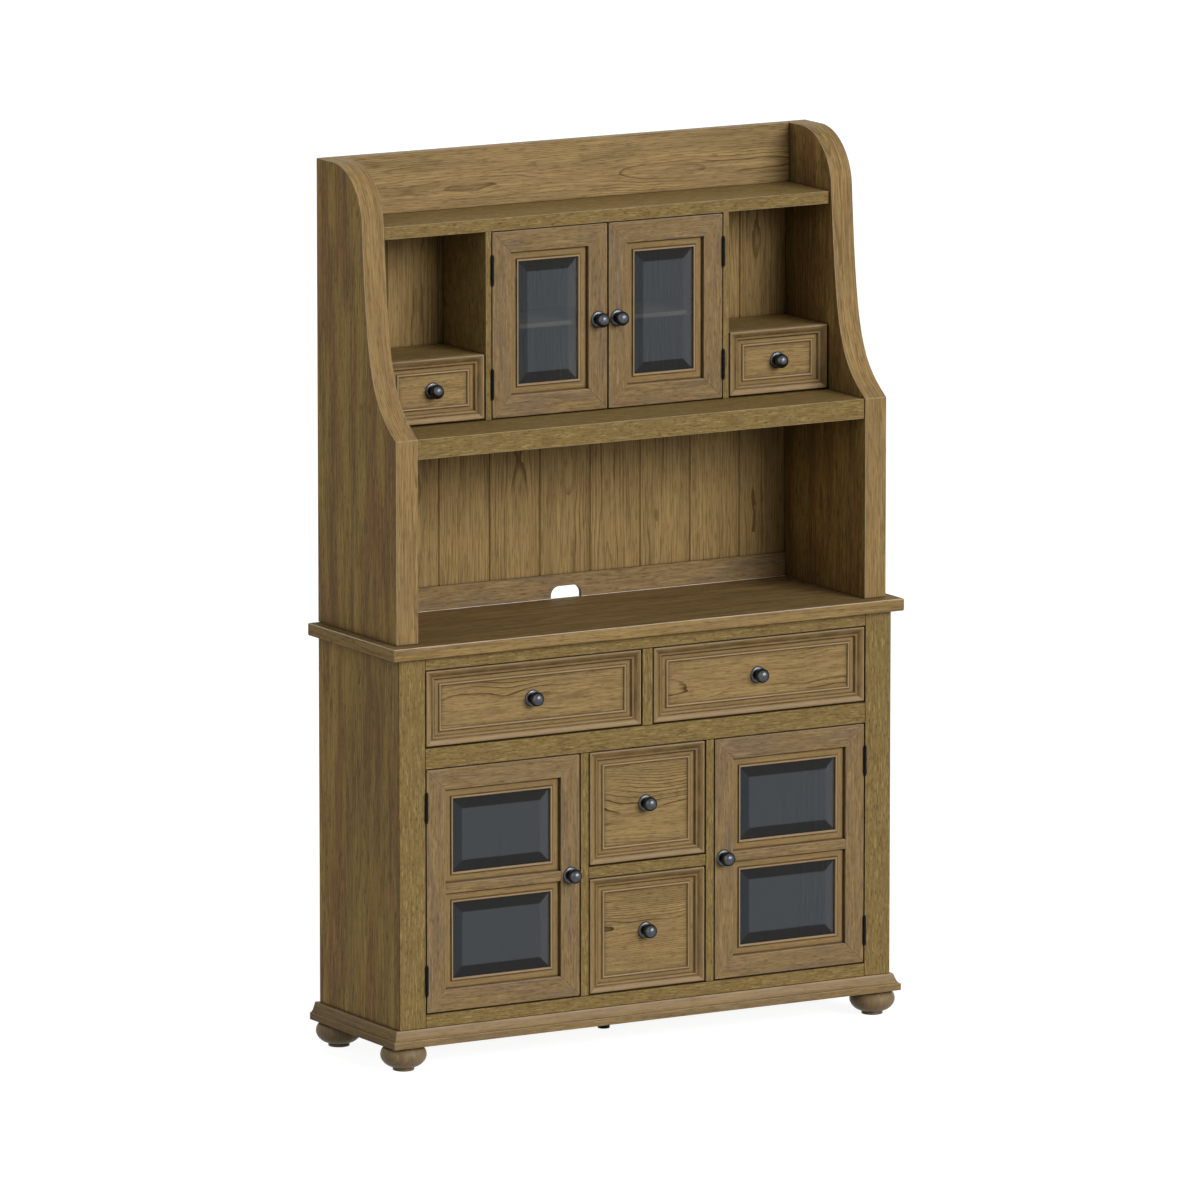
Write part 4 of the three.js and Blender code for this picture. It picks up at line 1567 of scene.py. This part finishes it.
@dataclass(frozen=True)
class Blank:
    """A blank whose front is moulded, with four mitred sticks round its middle."""

    edges: Span
    heights: Span
    depth: Span
    side_share: float = 1.0  # how much wider the moulding is at the two sides
    lip: float = 0.0  # how deep the outer edge starts
    mitre_margin: float = 0.2

    def mould(self, work: Joinery, steps: Iterable[Step]) -> int:
        """Moulds the front by insets, each with its own depth.

        Args:
            work: the piece under work.
            steps: the moulding from the outer edge inwards.

        Returns:
            The blank's number. Its innermost front face is left selected.
        """
        (x0, x1), (z0, z1), (y0, y1) = self.edges, self.heights, self.depth
        number = work.board((x0, y0 + self.lip, z0), (x1, y1, z1), Axis.X, edge=0)
        work.pick(number, lambda centre, normal: normal.y < -FACING)
        reach, deep, width = 0.0, self.lip, x1 - x0
        for step in steps:
            further = step.reach - reach
            wanted = x1 - x0 - 2 * self.side_share * step.reach
            bpy.ops.mesh.inset(
                thickness=further * MM,
                depth=-(step.depth - deep) * MM,
                use_even_offset=True,
            )
            width -= 2 * further
            bpy.ops.transform.resize(
                value=(wanted / width, 1, 1),
                center_override=spot((x0 + x1) / 2, y0 + step.depth, (z0 + z1) / 2),
            )
            reach, deep, width = step.reach, step.depth, wanted
            work.mark_wear_and_painted_light(step.wear)
        work.reclaim(number)
        return number

    def claim_sticks(self, work: Joinery, number: int, reach: float) -> None:
        """Gives the four sides a grain and the second finish, mitred at the corners.

        Args:
            work: the piece under work.
            number: the moulded blank's number.
            reach: how far in the sticks go.
        """
        (x0, x1), (z0, z1), (y0, y1) = self.edges, self.heights, self.depth
        wide = reach * self.side_share
        for side, left, right in ((-1, x0, x0 + wide), (1, x1 - wide, x1)):

            def upright(centre: Vector, normal: Vector, side: int = side) -> bool:
                """Tells whether a face is nearer to the side than to the ends.

                Args:
                    centre: the face's middle.
                    normal: the way that it faces, which doesn't count.
                    side: -1 for the left side and 1 for the right one.

                Returns:
                    True where the face lies in the upright stick.
                """
                x, z = centre.x / MM, centre.z / MM
                to_side = (x - x0 if side < 0 else x1 - x) / self.side_share
                to_end = min(z - z0, z1 - z) - self.mitre_margin
                return to_side < reach and to_side < to_end

            work.free(number, upright)
            work.claim(Board(spot(left, y0, z0), spot(right, y1, z1), Axis.Z, 1))
        for low, high in ((z0, z0 + reach), (z1 - reach, z1)):
            work.free(
                number,
                lambda centre, normal, low=low, high=high: low < centre.z / MM < high,
            )
            work.claim(Board(spot(x0, y0, low), spot(x1, y1, high), Axis.X, 1))


@dataclass
class Drawer:
    """A drawer: moulded front and box of five boards."""

    name: str
    wall: float = 12.0
    floor: Span = (1.0, 8.0)
    side_share: float = 1.15
    lip: float = 1.8
    stick: float = 35.0
    edge: float = 0.45
    # The wear of each step is glaze and rubbing, with painted shade in the hollows that turn from
    # the light.
    steps: tuple[Step, ...] = (
        Step(0.5, 0.6, 0.2),
        Step(1.6, 0.0, 0.2),
        Step(3.0, 0.05),
        Step(4.4, 0.25, -0.05),
        Step(6.2, 0.7, -0.1),
        Step(8.0, 1.3, -0.15),
        Step(9.6, 2.0, -0.3),
        Step(11.2, 2.8, -0.65),
        Step(12.6, 3.5, -1.1),
        Step(13.4, 3.6, -1.1),
        Step(14.6, 3.5, -0.6),
        Step(16.2, 3.4, -0.2),
        Step(17.6, 3.6, -0.1),
        Step(18.6, 5.0, -0.5),
        Step(19.6, 6.8, -1.0),
        Step(20.2, 8.0, -1.2),
        Step(21.6, 8.0, -0.4),
        Step(23.4, 8.0),
        Step(26.6, 8.0, -0.05),
        Step(28.0, 8.0, -0.55),
        Step(29.2, 8.0, -1.2),
        Step(29.6, 6.8, -0.9),
        Step(30.4, 5.8, 0.1),
        Step(32.0, 5.2, 0.6),
        Step(33.6, 5.8, 0.1),
        Step(34.4, 6.8, -0.7),
        Step(34.8, 8.0, -1.0),
        Step(36.2, 8.0, -0.5),
        Step(39.0, 8.0, -0.2),
        Step(44.0, 8.0),
    )

    def build(self) -> None:
        """Builds the front and the box."""
        self._front()
        self._box()

    def _front(self) -> None:
        """Moulds the front round its sunk panel."""
        node = f"{self.name}_front"
        edges, depth, heights = zip(*span_of(node), strict=True)
        work = Joinery(f"{self.name}_moulded_front", [PANEL_OAK, STICK_OAK])
        blank = Blank(edges, heights, depth, self.side_share, self.lip)
        blank.claim_sticks(work, blank.mould(work, self.steps), self.stick)
        for board in range(1, len(work.boards) + 1):
            work.soften(board, self.edge, 1)
        work.done(self.name, [node])

    def _box(self) -> None:
        """Joins sides, front, back and bottom."""
        node = f"{self.name}_box"
        (x0, y0, z0), (x1, y1, z1) = span_of(node)
        wall, (under, over) = self.wall, self.floor
        work = Joinery(f"{self.name}_box_boards", [INNER_OAK])
        for left, right in ((x0, x0 + wall), (x1 - wall, x1)):
            work.board((left, y0, z0), (right, y1, z1), Axis.Y)
        for front, back in ((y0, y0 + wall), (y1 - wall, y1)):
            work.board((x0 + wall, front, z0), (x1 - wall, back, z1), Axis.X)
        low, high = (x0 + wall, y0 + wall, z0 + under), (x1 - wall, y1 - wall, z0 + over)
        work.board(low, high, Axis.X)
        work.done(self.name, [node], Slot.INNER)


@dataclass
class Door:
    """A glazed door: mitred frame, sunk sub-frame and bead, and its panes."""

    name: str
    rail: Span | None = None
    width: float = 46.0
    edge: float = 0.9
    sub_frame: float = 17.0
    bead: float = 5.6
    stick_edge: float = 0.5
    step_depth: float = 9.0
    bead_top: float = 6.2
    pocket: float = 14.6
    pane_front: float = 10.2
    pane_thickness: float = 4.0
    pane_hidden: float = 4.0
    bevel_width: float = 23.5
    bevel_depth: float = 1.2
    bevel_slant: Span = (0.3, 0.9999)  # how much of a bevel's normal points to the front

    def build(self) -> None:
        """Builds the joinery and the glass."""
        (x0, y0, z0), (x1, y1, z1) = span_of(f"{self.name}_frame")
        depth, width = (y0, y1), self.width
        edges, (bottom, top) = (x0 + width, x1 - width), (z0 + width, z1 - width)
        work = Joinery(f"{self.name}_joinery", [DOOR_OAK, STICK_OAK])
        work.mitred((x0, x1), (z0, z1), depth, width, self.edge)
        lights = [(bottom, top)]
        if self.rail:
            lights = [(bottom, self.rail[0]), (self.rail[1], top)]
            low, high = zip(edges, depth, self.rail, strict=True)
            work.board(low, high, Axis.X, edge=self.edge)
        for heights in lights:
            self._sub_frame(work, edges, heights, depth)
        work.done(self.name, [f"{self.name}_frame"])
        for number, heights in enumerate(lights, 1):
            self._pane(number, edges, heights, y0)

    def _sub_frame(self, work: Joinery, edges: Span, heights: Span, depth: Span) -> None:
        """Adds the sunk sub-frame and the bead round one light.

        Args:
            work: the open joinery.
            edges: the light's left and right edges.
            heights: its bottom and top.
            depth: the door's front and back.
        """
        front, inside = depth[0] + self.step_depth, self.sub_frame + self.bead
        rise = self.step_depth - self.bead_top
        # The dark wear on either side of the bead is glaze and painted shade.
        steps = (
            Step(0.8, 0.0, -1.2),
            Step(2.8, 0.0, -1.0),
            Step(4.4, 0.0, -0.1),
            Step(self.sub_frame - 2.8, 0.0),
            Step(self.sub_frame - 1.4, 0.0, -0.9),
            Step(self.sub_frame, 0.0, -1.5),
            Step(self.sub_frame + 0.4, -0.75 * rise, -1.4),
            Step(self.sub_frame + 1.1, -0.97 * rise, -0.6),
            Step(self.sub_frame + 1.6, -rise, 0.7),
            Step(self.sub_frame + 4.0, -rise, 0.7),
            Step(self.sub_frame + 4.9, -0.5 * rise, 0.2),
            Step(inside, 0.6, -1.0),
        )
        blank = Blank(edges, heights, (front, depth[1]))
        number = blank.mould(work, steps)
        # The glass is bedded from behind, in a pocket wider than the light.
        seat = depth[0] + self.pane_front - 0.1
        work.pick(number, lambda centre, normal: normal.y > FACING)
        bpy.ops.mesh.inset(thickness=self.pocket * MM, depth=0.0)
        bpy.ops.mesh.extrude_region_move(
            TRANSFORM_OT_translate={"value": (0, (seat - depth[1]) * MM, 0)}
        )
        bpy.ops.mesh.inset(thickness=(inside - self.pocket) * MM, depth=0.0)
        work.reclaim(number)
        # The light is opened between the faces in its middle, front and back.
        middle = spot(sum(edges) / 2, depth[1] - 1, sum(heights) / 2)
        work.pick(
            number,
            lambda centre, normal: abs(normal.y) > FACING
            and (centre - middle).xz.length < 1 * MM
            and centre.y < middle.y,
        )
        bpy.ops.mesh.bridge_edge_loops()
        work.reclaim(number)
        blank.claim_sticks(work, number, inside + 1)
        for board in range(number + 1, len(work.boards) + 1):
            work.soften(board, self.stick_edge, 1)

    def _pane(self, number: int, edges: Span, heights: Span, face: float) -> None:
        """Cuts one pane and grinds its bevel.

        Args:
            number: the pane's number, from the bottom.
            edges: the light's left and right edges.
            heights: its bottom and top.
            face: where the door's front lies.
        """
        piece = start_mesh(f"{self.name}_pane_{number}")
        margin, front = self.sub_frame + self.bead, face + self.pane_front
        low, high = (
            spot(
                edges[end] + way * margin - way * self.pane_hidden,
                front + depth,
                heights[end] + way * margin - way * self.pane_hidden,
            )
            for end, way, depth in ((0, 1, self.bevel_depth), (1, -1, self.pane_thickness))
        )
        add_block(low, high)
        bpy.ops.mesh.select_mode(type="FACE")
        bpy.ops.mesh.select_all(action="DESELECT")
        mesh = bmesh.from_edit_mesh(piece.data)
        for shape in mesh.faces:
            shape.select_set(shape.normal.y < -FACING)
        bmesh.update_edit_mesh(piece.data)
        ground = self.bevel_width + self.pane_hidden
        bpy.ops.mesh.inset(thickness=ground * MM, depth=self.bevel_depth * MM)
        bpy.ops.object.mode_set(mode="OBJECT")
        for finish in (PANE_GLASS, BEVEL_PAINTED_DARK, BEVEL_PAINTED_DIM, BEVEL_PAINTED_BRIGHT):
            piece.data.materials.append(finish.material())
        # Each bevel takes a copy of the glass painted darker or brighter by the way it faces:
        # painted reflection.
        least, most = self.bevel_slant
        for shape in piece.data.polygons:
            if least < -shape.normal.y < most:
                upright = abs(shape.normal.x) > abs(shape.normal.z)
                shape.material_index = (3 if shape.normal.x > 0 else 2) if upright else 1
        fit_piece(piece, self.name, [f"{self.name}_glass"], Slot.GLASS)


@dataclass
class Hardware:
    """Knobs and hinges."""

    knob_shape: tuple[Span, ...] = (
        (17.6, 0.0),
        (18.0, 0.5),
        (17.9, 1.6),
        (17.0, 2.6),
        (15.2, 3.3),
        (12.4, 3.7),
        (8.8, 4.0),
        (7.2, 4.7),
        (6.5, 6.0),
        (6.3, 7.4),
        (7.0, 8.4),
        (9.2, 9.2),
        (11.8, 10.6),
        (13.9, 12.6),
        (15.2, 15.2),
        (15.7, 18.2),
        (15.4, 21.2),
        (14.5, 24.2),
        (13.0, 26.9),
        (10.9, 29.2),
        (8.3, 30.9),
        (5.4, 31.9),
        (2.4, 32.1),
        (0.6, 32.2),
    )
    knob_smooth_below: float = 60.0  # degrees
    hinge_radius: float = 3.1
    hinge_height: float = 68.0
    hinge_tip: float = 4.0
    knuckles: int = 5
    leaf_half: float = 1.05
    leaf_inset: float = 3.6
    leaf_edge: float = 0.25

    def build(self, knobs: dict[str, str], hinges: dict[str, str]) -> None:
        """Copies one knob and one hinge to every place.

        Args:
            knobs: each knob's node and the body that it rides on.
            hinges: the same for the hinges.
        """
        places = {}
        for node in knobs:
            (x0, _, z0), (x1, back, z1) = span_of(node)
            places[f"{node}_turned"] = ((x0 + x1) / 2, back, (z0 + z1) / 2)
        self._fit(self._knob(*next(iter(places.items()))), places, knobs, Slot.KNOB)
        places = {}
        for node in hinges:
            (x0, front, foot), (x1, _, _) = span_of(node)
            places[f"{node}_barrel"] = ((x0 + x1) / 2, front + self.hinge_radius, foot)
        _, (_, back, top) = span_of(next(iter(hinges)))
        first = self._hinge(*next(iter(places.items())), back, top)
        self._fit(first, places, hinges, Slot.HINGE)

    def _fit(
        self, first: Piece, places: dict[str, Point], bodies: dict[str, str], slot: Slot
    ) -> None:
        """Copies one fitting to every place and fits the copies.

        Args:
            first: the fitting at the first place.
            places: each fitting's name and place.
            bodies: each fitting's node and the body that it rides on.
            slot: the slot named for the fittings, handed on to fit_piece.
        """
        pieces = stand_at(first, places)
        for piece, (node, body) in zip(pieces, bodies.items(), strict=True):
            fit_piece(piece, body, [node], slot)

    def _knob(self, name: str, place: Point) -> Piece:
        """Turns the first knob.

        Args:
            name: its name.
            place: where it meets the front that it stands on.

        Returns:
            The knob.
        """
        knob = Turning(name, self.knob_shape, 56).turn(place, False)
        bpy.ops.object.shade_smooth_by_angle(angle=math.radians(self.knob_smooth_below))
        knob.data.materials.append(KNOB_ZINC.material())
        return knob

    def _hinge_rings(self) -> tuple[Span, ...]:
        """Draws the barrel with its tips and the gaps between its knuckles.

        Returns:
            Each ring's radius and height above the barrel's foot.
        """
        radius, tall, start = self.hinge_radius, self.hinge_height, self.hinge_tip
        tip = [(0.5, 0.0), (1.9, 0.5), (2.4, 1.6), (1.9, 2.8), (1.5, 3.3)]
        tip += [(radius - 0.5, start - 0.5), (radius, start)]
        gaps = [
            (radius - sunk, start + (tall - 2 * start) * gap / self.knuckles + up)
            for gap in range(1, self.knuckles)
            for sunk, up in ((0, -0.35), (0.6, -0.15), (0.6, 0.15), (0, 0.35))
        ]
        return (*tip, *gaps, *((r, tall - z) for r, z in reversed(tip)))

    def _hinge(self, name: str, place: Point, back: float, top: float) -> Piece:
        """Turns the first hinge's barrel and adds its leaf.

        Args:
            name: its name.
            place: the barrel's foot.
            back: where the leaf ends, toward the back.
            top: the hinge's top.

        Returns:
            The hinge.
        """
        hinge = Turning(name, self._hinge_rings(), 24).turn(place, True)
        bpy.ops.object.mode_set(mode="EDIT")
        x, y, foot = place
        add_block(
            spot(x - self.leaf_half, y, foot + self.leaf_inset),
            spot(x + self.leaf_half, back, top - self.leaf_inset),
        )
        bpy.ops.mesh.bevel(offset=self.leaf_edge * MM, segments=2)
        bpy.ops.object.mode_set(mode="OBJECT")
        bpy.ops.object.shade_smooth_by_angle(angle=SMOOTH_BELOW)
        hinge.data.materials.append(HINGE_IRON.material())
        return hinge


@dataclass(frozen=True)
class Lamp:
    """One far soft lamp."""

    name: str
    strength: float
    spread: float  # how wide it looks from the dresser, in degrees
    source: Point  # the direction that its light comes from

    def hang(self) -> None:
        """Hangs the lamp."""
        lamp = bpy.data.lights.new(self.name, "SUN")
        lamp.energy = self.strength
        lamp.angle = math.radians(self.spread)
        holder = bpy.data.objects.new(self.name, lamp)
        bpy.context.scene.collection.objects.link(holder)
        holder.rotation_euler = Vector(self.source).to_track_quat("Z", "Y").to_euler()


@dataclass
class Studio:
    """Floor, world, lamps and camera."""

    target: Point = (-0.00502, 0.02875, 0.94474)
    place: Point = (-13.1250, -22.6960, 5.5716)
    lens: float = 369.5
    sensor: float = 36.0
    sight: float = 200.0  # metres
    ambient: float = 0.12
    lamps: tuple[Lamp, ...] = (
        Lamp("key", 2.70, 32.0, (0.290, -0.894, 0.342)),
        Lamp("fill", 1.10, 90.0, (-0.95, -0.12, 0.29)),
        Lamp("rear", 0.75, 60.0, (0.58, 0.60, 0.55)),
    )
    floor_half: float = 30.0  # metres

    def build(self) -> None:
        """Sets up everything round the dresser."""
        self._world()
        for lamp in self.lamps:
            lamp.hang()
        piece = start_mesh("floor")
        bpy.ops.mesh.primitive_plane_add(size=2 * self.floor_half)
        bpy.ops.object.mode_set(mode="OBJECT")
        piece.data.materials.append(FLOOR_PAPER.material())
        self._camera()
        bpy.context.scene.view_settings.view_transform = "Standard"

    def _world(self) -> None:
        """Lights the room evenly, and shows white wherever the camera or a gloss looks."""
        world = bpy.data.worlds.new("studio")
        bpy.context.scene.world = world
        world.use_nodes = True
        tree = world.node_tree
        tree.nodes.clear()
        levels = {0: looked_at(tree), 3: self.ambient, 4: 1.0}
        strength = add_node(tree, "ShaderNodeMapRange", levels)
        light = add_node(
            tree, "ShaderNodeBackground", {"Color": WHITE, "Strength": strength}
        )
        add_node(tree, "ShaderNodeOutputWorld", {0: light})

    def _camera(self) -> None:
        """Sets the camera at the photograph's place."""
        data = bpy.data.cameras.new("camera")
        data.lens = self.lens
        data.sensor_width = self.sensor
        data.clip_end = self.sight
        camera = bpy.data.objects.new("camera", data)
        bpy.context.scene.collection.objects.link(camera)
        camera.location = self.place
        aim = Vector(self.place) - Vector(self.target)
        camera.rotation_euler = aim.to_track_quat("Z", "Y").to_euler()
        bpy.context.scene.camera = camera


DRAWERS = (
    "top_drawer_left",
    "top_drawer_right",
    "centre_drawer_upper",
    "centre_drawer_lower",
    "hutch_drawer_left",
    "hutch_drawer_right",
)
BASE_DOORS = ("base_door_left", "base_door_right")
HUTCH_DOORS = ("hutch_door_left", "hutch_door_right")
BASE_DOOR_RAIL = (380.0, 401.4)


def main() -> None:
    """Builds the dresser from the floor up, then the studio round it."""
    logging.basicConfig(level=logging.INFO, format="%(name)s: %(message)s")
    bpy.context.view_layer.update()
    Feet().build()
    Plinth().build()
    BaseCabinet().build()
    Counter().build()
    Hutch().build()
    for name in DRAWERS:
        Drawer(name).build()
    for name in BASE_DOORS:
        Door(name, rail=BASE_DOOR_RAIL).build()
    for name in HUTCH_DOORS:
        Door(name).build()
    doors = BASE_DOORS + HUTCH_DOORS
    Hardware().build(
        {f"{name}_knob": name for name in DRAWERS + doors},
        {f"{name}_hinge_{end}": name for name in doors for end in ("upper", "lower")},
    )
    Studio().build()


if __name__ == "__main__":
    main()
